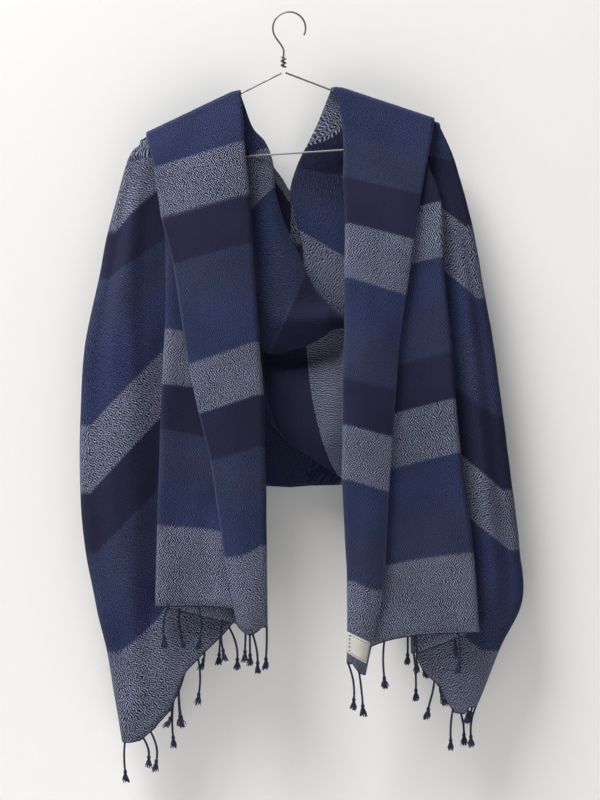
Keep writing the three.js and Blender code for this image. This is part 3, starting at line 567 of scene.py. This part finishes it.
class Nodes:
    """Short names for building a material's nodes."""

    def __init__(self, name):
        self.material = bpy.data.materials.new(name)
        self.material.use_nodes = True
        self.tree = self.material.node_tree
        self.bsdf = self.tree.nodes["Principled BSDF"]

    def node(self, kind, **settings):
        made = self.tree.nodes.new(kind)
        for key, value in settings.items():
            setattr(made, key, value)
        return made

    def link(self, output, target):
        self.tree.links.new(output, target)

    def feed(self, target, value):
        if isinstance(value, bpy.types.NodeSocket):
            self.link(value, target)
        else:
            target.default_value = value

    def math(self, operation, a, b=0.0, c=0.0):
        made = self.node("ShaderNodeMath", operation=operation)
        for target, value in zip(made.inputs, (a, b, c)):
            self.feed(target, value)
        return made.outputs[0]

    def times(self, a, b):
        return self.math("MULTIPLY", a, b)

    def plus(self, a, b):
        return self.math("ADD", a, b)

    def place(self):
        return self.node("ShaderNodeTexCoord").outputs["Object"]

    def weave(self):
        """The map of the place on the cloth, and its two parts."""
        uv = self.node("ShaderNodeUVMap", uv_map="weave").outputs[0]
        split = self.node("ShaderNodeSeparateXYZ")
        self.link(uv, split.inputs[0])
        return uv, split.outputs[0], split.outputs[1]

    def span(self, value, low, high, to_low=0.0, to_high=1.0):
        made = self.node("ShaderNodeMapRange", interpolation_type="SMOOTHSTEP")
        for target, entry in zip(made.inputs, (value, low, high, to_low, to_high)):
            self.feed(target, entry)
        return made.outputs[0]

    def blend(self, share, a, b, mode="MIX"):
        made = self.node("ShaderNodeMix", data_type="RGBA", blend_type=mode)
        self.feed(made.inputs[0], share)
        self.feed(made.inputs[6], a)
        self.feed(made.inputs[7], b)
        return made.outputs[2]

    def noise(self, vector, scale, detail=2.0):
        made = self.node("ShaderNodeTexNoise")
        self.link(vector, made.inputs["Vector"])
        made.inputs["Scale"].default_value = scale
        made.inputs["Detail"].default_value = detail
        return made.outputs["Fac"]

    def ramp(self, value, stops):
        made = self.node("ShaderNodeValToRGB")
        ramp = made.color_ramp
        while len(ramp.elements) < len(stops):
            ramp.elements.new(1.0)
        for element, (place, colour) in zip(ramp.elements, stops):
            element.position = place
            element.color = colour
        self.link(value, made.inputs[0])
        return made.outputs["Color"]

    def surface(self, **values):
        for name, value in values.items():
            self.feed(self.bsdf.inputs[name.replace("_", " ")], value)

    def bump(self, height, strength, distance):
        made = self.node("ShaderNodeBump")
        made.inputs["Strength"].default_value = strength
        made.inputs["Distance"].default_value = distance
        self.link(height, made.inputs["Height"])
        self.link(made.outputs[0], self.bsdf.inputs["Normal"])


def stripe_stops(stripes, entry):
    """Ramp stops with crisp changes, but for the soft one between bright and slate blue."""
    total = sum(width for _, width in stripes)
    stops, place = [], 0.0
    for i, (kind, width) in enumerate(stripes):
        start, end = place, place + width
        before = stripes[i - 1][0] if i else kind
        after = stripes[i + 1][0] if i + 1 < len(stripes) else kind
        start += SOFT_EDGE if {before, kind} == {"B", "S"} else CRISP_EDGE
        end -= SOFT_EDGE if {after, kind} == {"B", "S"} else CRISP_EDGE
        colour = (*YARN[kind][entry], 1)
        stops += [(start / total, colour), (end / total, colour)]
        place += width
    return stops


def cloth_material(name, stripes):
    n = Nodes(name)
    uv, u, v = n.weave()
    place = n.math("DIVIDE", v, sum(width for _, width in stripes) * MM)
    dark, light, share = (n.ramp(place, stripe_stops(stripes, entry)) for entry in range(3))
    # Broken herringbone: fine slanting dashes that turn back and forth down the cloth.
    sway = n.times(n.math("SUBTRACT", n.noise(uv, 60, 2), 0.5), 0.008)
    drift = n.times(n.math("SUBTRACT", n.noise(uv, 150, 1), 0.5), 0.004)
    turn = n.math("PINGPONG", n.plus(v, sway), DASH_TURN)
    shifted = n.plus(n.plus(u, n.times(turn, DASH_SLANT)), drift)
    line = n.math("SINE", n.times(shifted, 2 * math.pi / DASH_PITCH))
    breaks = n.math("SUBTRACT", n.noise(uv, 470, 2), 0.5)
    pick = n.plus(n.times(line, 0.75), n.times(breaks, 2.8))
    shows = n.times(n.span(pick, -0.05, 0.75), share)
    colour = n.blend(shows, dark, light)
    # Uneven dye and a little fading.
    patches = n.span(n.noise(uv, 14, 3), 0.3, 0.7, 0.86, 1.12)
    threads = n.span(n.noise(uv, 1500, 1), 0.3, 0.7, 0.9, 1.1)
    value = n.times(patches, threads)
    grey = n.node("ShaderNodeCombineColor")
    for target in grey.inputs[:3]:
        n.link(value, target)
    colour = n.blend(1.0, colour, grey.outputs[0], "MULTIPLY")
    # The selvedge carries a few paler ends.
    edge = n.times(n.span(u, 0.0008, 0.0030, 1.0, 0.0), 0.2)
    colour = n.blend(edge, colour, (0.10, 0.12, 0.24, 1))
    relief = n.plus(n.times(line, 0.5), n.times(breaks, 1.4))
    n.bump(relief, 0.5, 0.0005)
    n.surface(Base_Color=colour, Roughness=0.88, Specular_IOR_Level=0.15,
              Sheen_Weight=0.05, Sheen_Roughness=0.5, Sheen_Tint=(0.75, 0.8, 1.0, 1))
    return n.material


def fringe_material():
    n = Nodes("fringe_yarn")
    place = n.place()
    shade = n.node("ShaderNodeAttribute", attribute_name="shade").outputs["Fac"]
    colour = n.blend(shade, (0.003, 0.003, 0.010, 1), (0.028, 0.035, 0.090, 1))
    fibres = n.noise(place, 900, 3)
    colour = n.blend(n.span(fibres, 0.35, 0.7, 0.0, 0.3), colour, (0.055, 0.068, 0.14, 1))
    n.bump(fibres, 0.5, 0.0003)
    n.surface(Base_Color=colour, Roughness=0.9, Specular_IOR_Level=0.15, Sheen_Weight=0.05)
    return n.material


def label_material():
    n = Nodes("label_cotton")
    place = n.place()
    weave = n.noise(place, 1400, 2)
    mottle = n.noise(place, 90, 3)
    colour = n.blend(mottle, (0.47, 0.455, 0.41, 1), (0.60, 0.585, 0.54, 1))
    colour = n.blend(n.span(weave, 0.35, 0.65, 0.0, 0.3), colour, (0.34, 0.32, 0.27, 1))
    # A row of running stitches just inside the edge.
    _, u, v = n.weave()
    inside = n.math("MINIMUM", n.math("PINGPONG", u, 0.013), n.math("PINGPONG", v, 0.0085))
    off_line = n.math("ABSOLUTE", n.math("SUBTRACT", inside, 0.0016))
    dash = n.math("SINE", n.times(n.plus(u, v), 2 * math.pi / 0.003))
    stitch = n.times(n.span(off_line, 0.0002, 0.0005, 1.0, 0.0), n.span(dash, -0.4, 0.0))
    colour = n.blend(stitch, colour, (0.10, 0.11, 0.17, 1))
    n.bump(weave, 0.5, 0.0002)
    n.surface(Base_Color=colour, Roughness=0.85)
    return n.material


def wire_material():
    n = Nodes("hanger_wire")
    place = n.place()
    dull = n.noise(place, 160, 3)
    colour = n.blend(dull, (0.10, 0.10, 0.102, 1), (0.20, 0.20, 0.203, 1))
    n.surface(Base_Color=colour, Roughness=n.span(dull, 0.3, 0.7, 0.45, 0.65), Metallic=0.7)
    return n.material


# ---- Creases: height in mm, width in mm and the [x, z] points of each soft fold 

CREASES = {
    "left_lapel": [
        (0.9, 12, [(-75, -300), (-66, -430), (-60, -600)]),
        (-0.8, 9, [(-110, -200), (-98, -330), (-84, -450)]),
        (-0.9, 10, [(-60, -620), (-52, -700), (-50, -745)]),
    ],
    "left_front": [
        (1.5, 9, [(-144, -246), (-140, -359), (-147, -509)]),
        (-1.6, 9, [(-125, -584), (-118, -660), (-122, -740)]),
        (-4.5, 12, [(-102, -600), (-104, -690), (-98, -752)]),
        (1.2, 7, [(-150, -600), (-146, -690), (-152, -745)]),
    ],
    "left_side": [
        (2.4, 10, [(-190, -215), (-200, -300), (-203, -380), (-196, -450)]),
        (-2.6, 10, [(-176, -230), (-184, -330), (-184, -420), (-178, -480)]),
        (-1.8, 12, [(-237, -396), (-224, -500), (-208, -610)]),
        (-7.0, 20, [(-178, -736), (-120, -744), (-40, -746)]),
        (1.8, 13, [(-243, -584), (-214, -684), (-198, -790)]),
        (-1.4, 9, [(-222, -640), (-206, -730), (-205, -800)]),
        (1.3, 8, [(-180, -560), (-192, -650), (-188, -720)]),
        (-2.8, 6, [(-158, -842), (-145, -864), (-139, -876)]),
        (-3.0, 6, [(-172, -866), (-188, -888), (-195, -900)]),
        (2.0, 7, [(-183, -840), (-199, -868), (-206, -892)]),
    ],
    "right_lapel": [
        (1.0, 11, [(94, -359), (86, -450), (81, -546)]),
        (-0.9, 10, [(120, -230), (112, -330), (104, -400)]),
        (-1.0, 8, [(85, -600), (80, -680), (84, -740)]),
    ],
    "right_front": [
        (2.0, 7, [(194, -271), (198, -396), (194, -534)]),
        (-1.7, 8, [(180, -300), (181, -410), (176, -520)]),
        (-1.4, 10, [(169, -600), (178, -690), (175, -765)]),
        (-5.0, 13, [(132, -600), (128, -690), (128, -760)]),
        (1.3, 8, [(150, -480), (146, -590), (156, -690)]),
    ],
    "right_side": [
        (-1.8, 10, [(231, -296), (248, -396), (259, -509)]),
        (-8.0, 24, [(216, -744), (150, -764), (90, -774)]),
        (1.9, 12, [(206, -484), (228, -620), (250, -734)]),
        (-2.0, 8, [(214, -700), (233, -780), (243, -850)]),
        (1.5, 9, [(222, -250), (226, -330), (240, -430)]),
        (-1.3, 7, [(252, -560), (264, -640), (268, -720)]),
        (1.6, 7, [(196, -800), (212, -830), (222, -862)]),
    ],
    "back_panel": [
        (2.8, 12, [(5, -220), (-3, -380), (8, -560)]),
        (-2.2, 11, [(-34, -250), (-42, -400), (-20, -530)]),
        (-2.2, 13, [(-120, -230), (-94, -400), (-60, -560)]),
        (2.4, 12, [(-160, -400), (-150, -600), (-134, -760)]),
        (-1.6, 9, [(-196, -520), (-186, -690), (-176, -850)]),
        (2.2, 11, [(112, -230), (94, -380), (62, -540)]),
        (-2.0, 12, [(150, -400), (168, -590), (172, -760)]),
        (1.7, 10, [(206, -500), (214, -660), (206, -810)]),
        (-2.4, 8, [(-170, -846), (-186, -876), (-194, -896)]),
    ],
    "cowl_left": [
        (2.6, 9, [(-36, -212), (-24, -262), (-8, -312), (14, -352)]),
        (-2.6, 8, [(-52, -222), (-43, -285), (-33, -340)]),
        (-1.4, 6, [(-8, -268), (10, -310), (30, -345)]),
        (7.0, 14, [(-50, -366), (-6, -386), (42, -384), (64, -368)]),
        (-1.5, 6, [(-50, -380), (-10, -402), (40, -409)]),
    ],
    "cowl_right": [
        (4.0, 7, [(58, -142), (45, -176), (26, -208), (17, -240), (16, -276), (17, -322)]),
        (-2.4, 6, [(45, -150), (33, -178), (13, -212), (5, -240), (2, -262)]),
        (-8.0, 8, [(4, -262), (7, -300), (14, -345)]),
        (-1.6, 5, [(66, -180), (42, -214), (30, -262), (31, -320)]),
        (1.2, 4, [(74, -196), (54, -238), (44, -290)]),
        (-1.2, 4, [(78, -215), (64, -262), (58, -310)]),
        (-1.1, 5, [(62, -318), (52, -360), (60, -396)]),
    ],
    "cowl_lower": [
        (2.2, 7, [(-31, -501), (0, -534), (40, -566), (62, -579)]),
        (-1.5, 5, [(25, -446), (37, -480), (50, -509)]),
        (1.3, 5, [(39, -424), (52, -455), (64, -484)]),
        (-1.4, 6, [(-34, -440), (-22, -474), (4, -502)]),
        (-9.0, 20, [(-44, -420), (10, -428), (70, -416)]),
    ],
}


def weave_map(across, woven_rows, width):
    """Place on the cloth of each point: distance from the selvedge and woven distance."""
    lengths = np.broadcast_to(woven_rows[:, None] if woven_rows.ndim == 1 else woven_rows,
                              (across.shape[0], width))
    return np.stack([across, lengths], axis=-1)


def pull_in(rows, first, last):
    rows = rows.copy()
    for use, here, other in ((first, 0, 1), (last, -1, -2)):
        if use:
            toward = rows[:, other] - rows[:, here]
            toward /= np.linalg.norm(toward, axis=1, keepdims=True)
            rows[:, here] += toward * SEAM / 2
    return rows


REAR_COLUMNS = 10
SIDE_NAMES = {-1: "left", 1: "right"}
made, hems = {}, {}


def build_end(hand, material):
    side = SIDE_NAMES[hand]
    end = ENDS[hand]

    def drape(fall):
        part = (0, BACK_SIDE_PART) if hand < 0 else (1, 1 - BACK_SIDE_PART)
        return end_section(hand, fall)["side"] + cape_row(*part, REAR_COLUMNS, fall)

    parts = {
        "lapel": fall_rows(lambda fall: end_section(hand, fall)["lapel"], outer_crest),
        "front": fall_rows(lambda fall: end_section(hand, fall)["front"]),
        "side": fall_rows(drape, side_crest),
    }
    start = np.zeros((FALL_ROWS, 1))
    for part, (rows, falls) in parts.items():
        name = f"{side}_{part}"
        lengths = row_lengths(rows)
        extra = len(rows) - FALL_ROWS
        offset = np.concatenate([np.repeat(start[:1], extra, axis=0), start])
        distance = np.array([woven(end, max(fall, 0)) - fall_over(fall) for fall in falls])
        weave = weave_map(lengths + offset, distance, rows.shape[1])
        if part == "side":
            take = np.array([shoulder_take(hand, max(fall, 0)) for fall in falls])
            along = np.clip(np.arange(rows.shape[1]) / (rows.shape[1] - STRAIGHT_COLUMNS), 0, 1)
            weave[..., 1] -= take[:, None]
            level = falls * (len(LEFT_END) - 1)
            bow = NAVY_BOW[hand] * np.exp(-((level - BOW_LEVEL) / BOW_SPREAD) ** 2)
            weave[..., 1] -= bow[:, None] * np.sin(np.pi * along)[None, :]
        start = start + lengths[extra:, -1:]
        ends = {"lapel": (False, True), "front": (True, True), "side": (True, True)}[part]
        rows = pull_in(rows, *ends)
        rows = creased(rows, CREASES[name], 1)
        rows = ripple(rows, name, RIPPLE[part])
        made[name] = shell(name + "_cloth", rows, weave, material)
        hems[name] = rows[-1]
        if part == "lapel":
            made[name + "_rows"] = rows


def fall_over(fall):
    """Rows over the arm lie farther from the hem than the springing."""
    return fall / ARCH_SHARE * ARCH_LENGTH if fall < 0 else 0


RIPPLE = {"lapel": 0.8, "front": 0.7, "side": 0.9}
LEFT_CLOTH = cloth_material("cloth_left", LEFT_STRIPES)
RIGHT_CLOTH = cloth_material("cloth_right", RIGHT_STRIPES)
build_end(-1, LEFT_CLOTH)
build_end(1, RIGHT_CLOTH)


# ---- Back panel -------------------------------------------------------------

BACK_COLUMNS = 88
BACK_SELVEDGE = 380  # mm, the back's first column from the selvedge
BACK_MIDDLE_X = 0.008  # m, where the rim changes from one end's cloth to the other's


def build_back():
    rows, falls = fall_rows(
        lambda fall: cape_row(BACK_SIDE_PART, 1 - BACK_SIDE_PART, BACK_COLUMNS, fall),
        neckline_crest)
    across = np.linspace(BACK_SIDE_PART, 1 - BACK_SIDE_PART, BACK_COLUMNS + 1)
    distance = np.array([[back_woven(a, max(fall, 0)) - fall_over(fall) for a in across]
                         for fall in falls])
    lengths = row_lengths(rows)
    weave = np.stack([lengths + BACK_SELVEDGE, distance], axis=-1)
    rows = pull_in(rows, True, True)
    edge = rows[-1]
    hems["left_back"] = edge[edge[:, 0] < HEM_CORNERS[0]]
    hems["right_back"] = edge[edge[:, 0] > HEM_CORNERS[1]]
    rows = creased(rows, CREASES["back_panel"], -1)
    rows = ripple(rows, "back", 1.2)
    piece = shell("back_panel_cloth", rows, weave, LEFT_CLOTH)
    piece.data.materials.append(RIGHT_CLOTH)
    quads = BACK_COLUMNS * (len(rows) - 1)
    index = np.zeros(len(piece.data.polygons), dtype=np.int32)
    column = np.arange(quads) % BACK_COLUMNS
    right_half = (column >= BACK_COLUMNS // 2).astype(np.int32)
    index[:quads] = right_half
    index[quads:2 * quads] = right_half
    centres = np.zeros(len(piece.data.polygons) * 3)
    piece.data.polygons.foreach_get("center", centres)
    rim = centres.reshape(-1, 3)[2 * quads:, 0]
    index[2 * quads:] = (rim > BACK_MIDDLE_X).astype(np.int32)
    piece.data.polygons.foreach_set("material_index", index)
    made["back_panel"] = piece


build_back()


# ---- Swags ------------------------------------------------------------------


SWAG_COLUMNS = 41
SWAG_SELVEDGE = 40  # mm, a swag's first column from the selvedge
TURN_FROM, TURN_TO = 0.2, 0.7  # shares of a swag between which its turned selvedge straightens


def swag(name, table, section, rows, stripes):
    columns = SWAG_COLUMNS
    table = np.array(table, float)
    section = np.array(section, float)
    grid = np.zeros((rows, columns, 3))
    for r in range(rows):
        values = spline(table, (len(table) - 1) * r / (rows - 1))
        neck, low, depth, belly, turn = values[:2], values[2:4], *values[4:]
        for c in range(columns):
            way, forward, back = spline(section, (len(section) - 1) * c / (columns - 1))
            x, z = mix(neck, low, way)
            grid[r, c] = (x, depth - belly * forward + turn * back, z)
    lengths = row_lengths(grid)
    middle = grid[:, columns // 3]
    run = run_along(middle)
    share = np.linspace(0, 1, columns)[None, :]
    at_neck, at_low, power, whole_from, whole_to, fade, turn_in = STRIPE_LEAN[name]
    place = np.linspace(0, 1, rows)[:, None]
    strength = smooth(whole_from - fade, whole_from, place)
    strength = strength * (1 - smooth(whole_to, whole_to + fade, place))
    lean = (at_neck * (1 - share) ** 2 + at_low * share ** power) * strength
    turned = turn_in * run[:, None] * (1 - smooth(TURN_FROM, TURN_TO, place))
    across = lengths + SWAG_SELVEDGE - turned
    weave = weave_map(across, run[:, None] + lean, columns)
    grid = creased(grid, CREASES[name], 1)
    grid = ripple(grid, name, 0.5)
    cloth = cloth_material("cloth_" + name, stripes)
    made[name] = shell(name + "_cloth", grid, weave, cloth)


swag("cowl_left", COWL_LEFT, ROLLED_SECTION, 110, COWL_LEFT_STRIPES)
swag("cowl_right", COWL_RIGHT, ROLLED_SECTION, 100, COWL_RIGHT_STRIPES)
swag("cowl_lower", COWL_LOWER, TUCKED_SECTION, 80, COWL_LOWER_STRIPES)


# ---- Fringe -----------------------------------------------------------------

PLY_RADIUS, PLY_TURN, PLY_PITCH = 0.85, 0.78, 6.0
CORD_STEPS, CORD_SWAY = 36, 2.6
KNOT_STEPS, KNOT_TURNS = 28, 2.3
TUFT_LENGTH, TUFT_YARNS = 13.0, 30


def cord_path(root, drop, swing, rng):
    """Points from the hem to the knot, with the sway of a cord that was twisted by hand."""
    sway = rng.uniform(-CORD_SWAY, CORD_SWAY)
    points = []
    for i in range(CORD_STEPS + 1):
        t = i / CORD_STEPS
        side = swing * (1 - (1 - t) ** 1.8) + sway * math.sin(math.pi * t)
        points.append((root[0] + side, root[1] + 1.2 * math.sin(2.2 * math.pi * t + sway),
                       root[2] + 1.5 - (drop + 1.5) * t))
    return np.array(points)


def strand_parts(root, drop, swing, rng):
    """Tubes of one cord: two plies twisted together, a knot and a frayed tuft."""
    path = cord_path(root, drop, swing, rng)
    run = run_along(path)
    parts = []
    for ply in range(2):
        angle = run / PLY_PITCH * 2 * math.pi + ply * math.pi
        offset = np.stack([np.cos(angle), np.sin(angle), np.zeros(len(run))], axis=1) * PLY_TURN
        parts.append((path + offset, [PLY_RADIUS] * len(path), 6, 0.02 + 0.78 * ply))
    knot = path[-1]
    loops = []
    for i in range(KNOT_STEPS + 1):
        t = i / KNOT_STEPS
        angle = t * 2 * math.pi * KNOT_TURNS
        reach = 1.5 * math.sin(math.pi * (0.15 + 0.7 * t))
        loops.append(knot + (reach * math.cos(angle), reach * math.sin(angle), 1.9 - 4.0 * t))
    parts.append((loops, [1.15] * len(loops), 7, 0.3))
    ahead = path[-1] - path[-6]
    ahead /= np.linalg.norm(ahead)
    for k in range(TUFT_YARNS):
        angle = 2 * math.pi * (k + rng.random()) / TUFT_YARNS
        spread = rng.uniform(0.8, 4.6)
        length = TUFT_LENGTH * rng.uniform(0.7, 1.08)
        curl = rng.uniform(-1.0, 1.0)
        yarn = []
        for i in range(7):
            t = i / 6
            out = 0.5 + spread * t ** 0.8
            yarn.append(knot + ahead * length * t + (
                out * math.cos(angle) + curl * math.sin(3.0 * t), out * math.sin(angle) * 0.8,
                -1.6 * (1 - t)))
        parts.append((yarn, np.linspace(0.65, 0.4, 7), 4, rng.uniform(0.1, 0.9)))
    return parts


def build_fringe(name, hem, strands, material):
    rng = random.Random(name)
    steps = run_along(hem)
    verts, faces, shades = [], [], []

    def put(points, radii, sides, shade):
        ring, quads = tube(points, radii, sides)
        base = sum(len(v) for v in verts)
        verts.append(ring)
        faces.extend(tuple(i + base for i in quad) for quad in quads)
        shades.extend([shade] * len(ring))

    for at, drop, swing in strands:
        root = [float(np.interp(at * steps[-1], steps, hem[:, k])) for k in range(3)]
        for points, radii, sides, shade in strand_parts(root, drop, swing, rng):
            put(points, radii, sides, shade)
    # The last picks of the weave, bound over the raw edge.
    edge = hem.copy()
    edge[:, 2] -= 0.7
    put(edge, [0.65] * len(edge), 6, 0.2)
    mesh = bpy.data.meshes.new(name)
    mesh.from_pydata((np.concatenate(verts) * MM).tolist(), [], faces)
    layer = mesh.attributes.new("shade", "FLOAT", "POINT")
    layer.data.foreach_set("value", shades)
    return finished(name, mesh, material)


FRINGE = fringe_material()
for hem_name, strands in STRANDS.items():
    made[hem_name + "_fringe"] = build_fringe(hem_name + "_cords", hems[hem_name], strands, FRINGE)


# ---- Label ------------------------------------------------------------------

LABEL_FALL = (0.9637, 0.9875)  # shares of the fall at its upper and lower edges
LABEL_NEAR, LABEL_FAR = 28.9, 3.6  # its edges among the lapel's columns, round the collar fold
LABEL_LIFT, LABEL_THICKNESS = 1.35, 0.7
LABEL_WIDTH, LABEL_HEIGHT = 26, 17
LABEL_ROWS, LABEL_COLUMNS = 15, 31


def build_label():
    rows = made["right_lapel_rows"][-FALL_ROWS:]
    normal = grid_normals(made["right_lapel_rows"])[-FALL_ROWS:]
    outward = normal * np.sign(-normal[:, 10:11, 1:2])
    grid = np.zeros((LABEL_ROWS, LABEL_COLUMNS, 3))
    for r in range(LABEL_ROWS):
        place = mix(*LABEL_FALL, r / (LABEL_ROWS - 1)) * (FALL_ROWS - 1)
        i = min(int(place), FALL_ROWS - 2)
        face = mix(rows[i], rows[i + 1], place - i) + outward[i] * LABEL_LIFT
        for c in range(LABEL_COLUMNS):
            way = mix(LABEL_NEAR, LABEL_FAR, c / (LABEL_COLUMNS - 1))
            k = int(way)
            grid[r, c] = mix(face[k], face[k + 1], way - k)
        # A small piece of firm cotton keeps its straight edges.
        across = (grid[r, :, 0] - grid[r, 0, 0]) / (grid[r, -1, 0] - grid[r, 0, 0])
        grid[r, :, 2] = mix(grid[r, 0, 2], grid[r, -1, 2], across)
    places = np.meshgrid(np.linspace(0, LABEL_WIDTH, LABEL_COLUMNS),
                         np.linspace(0, LABEL_HEIGHT, LABEL_ROWS))
    made["label"] = shell("label_cotton", grid, np.stack(places, axis=-1), label_material(),
                          LABEL_THICKNESS)


build_label()

# ---- Pieces on the body -----------------------------------------------------

# Size of each modelled stretch: width and length of a box round it in metres, and its area in
# square metres. The areas are half of each shell's own surface, rounded, and not a separate
# measure of a cut.
CUT = {
    "left_lapel": (0.125, 0.68, 0.063), "left_front": (0.17, 0.67, 0.105),
    "left_side": (0.28, 0.76, 0.165), "right_lapel": (0.13, 0.74, 0.059),
    "right_front": (0.20, 0.71, 0.125), "right_side": (0.25, 0.74, 0.135),
    "back_panel": (0.50, 0.75, 0.225), "cowl_left": (0.12, 0.37, 0.035),
    "cowl_right": (0.12, 0.30, 0.030), "cowl_lower": (0.17, 0.19, 0.024),
}
WIRE = wire_material()
for node_name in ("hanger_hook", "hanger_neck_twist", "hanger_left_arm", "hanger_right_arm",
                  "hanger_bar"):
    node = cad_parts[node_name]
    node.data.materials.clear()
    node.data.materials.append(WIRE)

for node_name in CUT:
    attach(made[node_name], "root")
    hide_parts(node_name)
for hem_name in STRANDS:
    piece = made[hem_name + "_fringe"]
    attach(piece, "root")
    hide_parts(hem_name + "_fringe")
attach(made["label"], "root")
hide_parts("label")

for name, (width, length, area) in CUT.items():
    fringes = [made[name + "_fringe"]] if name + "_fringe" in made else []
    if name == "back_panel":
        fringes = [made["left_back_fringe"], made["right_back_fringe"]]
    if name == "right_lapel":
        fringes.append(made["label"])

# ---- Backdrop, light and camera ---------------------------------------------


def plain_material(name, colour):
    """A matt pale ground that is only there from in front."""
    n = Nodes(name)
    place = n.place()
    tone = n.blend(n.noise(place, 1.2, 2), (*colour, 1), (*(c * 0.985 for c in colour), 1))
    n.surface(Base_Color=tone, Roughness=0.95, Specular_IOR_Level=0.0)
    behind = n.node("ShaderNodeNewGeometry").outputs["Backfacing"]
    clear = n.node("ShaderNodeBsdfTransparent").outputs[0]
    choice = n.node("ShaderNodeMixShader")
    n.link(behind, choice.inputs[0])
    n.link(n.bsdf.outputs[0], choice.inputs[1])
    n.link(clear, choice.inputs[2])
    n.link(choice.outputs[0], n.tree.nodes["Material Output"].inputs["Surface"])
    return n.material


def plane(name, corners, material):
    mesh = bpy.data.meshes.new(name)
    mesh.from_pydata(corners, [], [(0, 1, 2, 3)])
    piece = placed(name, mesh)
    mesh.materials.append(material)
    return piece


WALL_Y, WALL_X, WALL_TOP, FLOOR_Z = 0.046, 3.0, 1.6, -1.5
PALE = plain_material("pale_ground", (0.87, 0.86, 0.845))
wall = plane("wall", [(-WALL_X, WALL_Y, FLOOR_Z), (WALL_X, WALL_Y, FLOOR_Z),
                      (WALL_X, WALL_Y, WALL_TOP), (-WALL_X, WALL_Y, WALL_TOP)], PALE)
# It takes the scarf's shadow, but keeps no light from the back of the cloth.
wall.visible_shadow = False
wall.visible_diffuse = False
wall.visible_glossy = False
plane("floor", [(-WALL_X, -3, FLOOR_Z), (WALL_X, -3, FLOOR_Z), (WALL_X, WALL_Y, FLOOR_Z),
                (-WALL_X, WALL_Y, FLOOR_Z)], PALE)

bpy.context.scene.view_settings.view_transform = "Standard"
world = bpy.data.worlds.new("soft_world")
bpy.context.scene.world = world
world.use_nodes = True
sky = world.node_tree.nodes["Background"].inputs
sky["Color"].default_value = (0.98, 0.985, 1.0, 1)
sky["Strength"].default_value = 0.165


def soft_light(name, place, aim, size, power):
    lamp = bpy.data.lights.new(name, "AREA")
    lamp.shape = "DISK"
    lamp.size = size
    lamp.energy = power
    piece = placed(name, lamp)
    piece.location = place
    piece.rotation_mode = "QUATERNION"
    piece.rotation_quaternion = (Vector(aim) - Vector(place)).to_track_quat("-Z", "Y")
    piece.visible_camera = False


soft_light("window", (-1.75, -1.25, 3.7), (0, 0, -0.4), 2.6, 430)
soft_light("room", (1.6, -3.6, -0.6), (0, 0, -0.6), 2.4, 4)
soft_light("behind", (0.6, 2.6, 0.8), (0, 0, -0.5), 1.6, 65)

camera = bpy.data.cameras.new("camera")
camera.sensor_fit = "VERTICAL"
camera.sensor_height = 36
camera.lens = 36 * 3.0
camera_piece = placed("camera", camera)
camera_piece.location = (0.0125, -3.0, -0.484)
camera_piece.rotation_euler = (math.pi / 2, 0, 0)
bpy.context.scene.camera = camera_piece
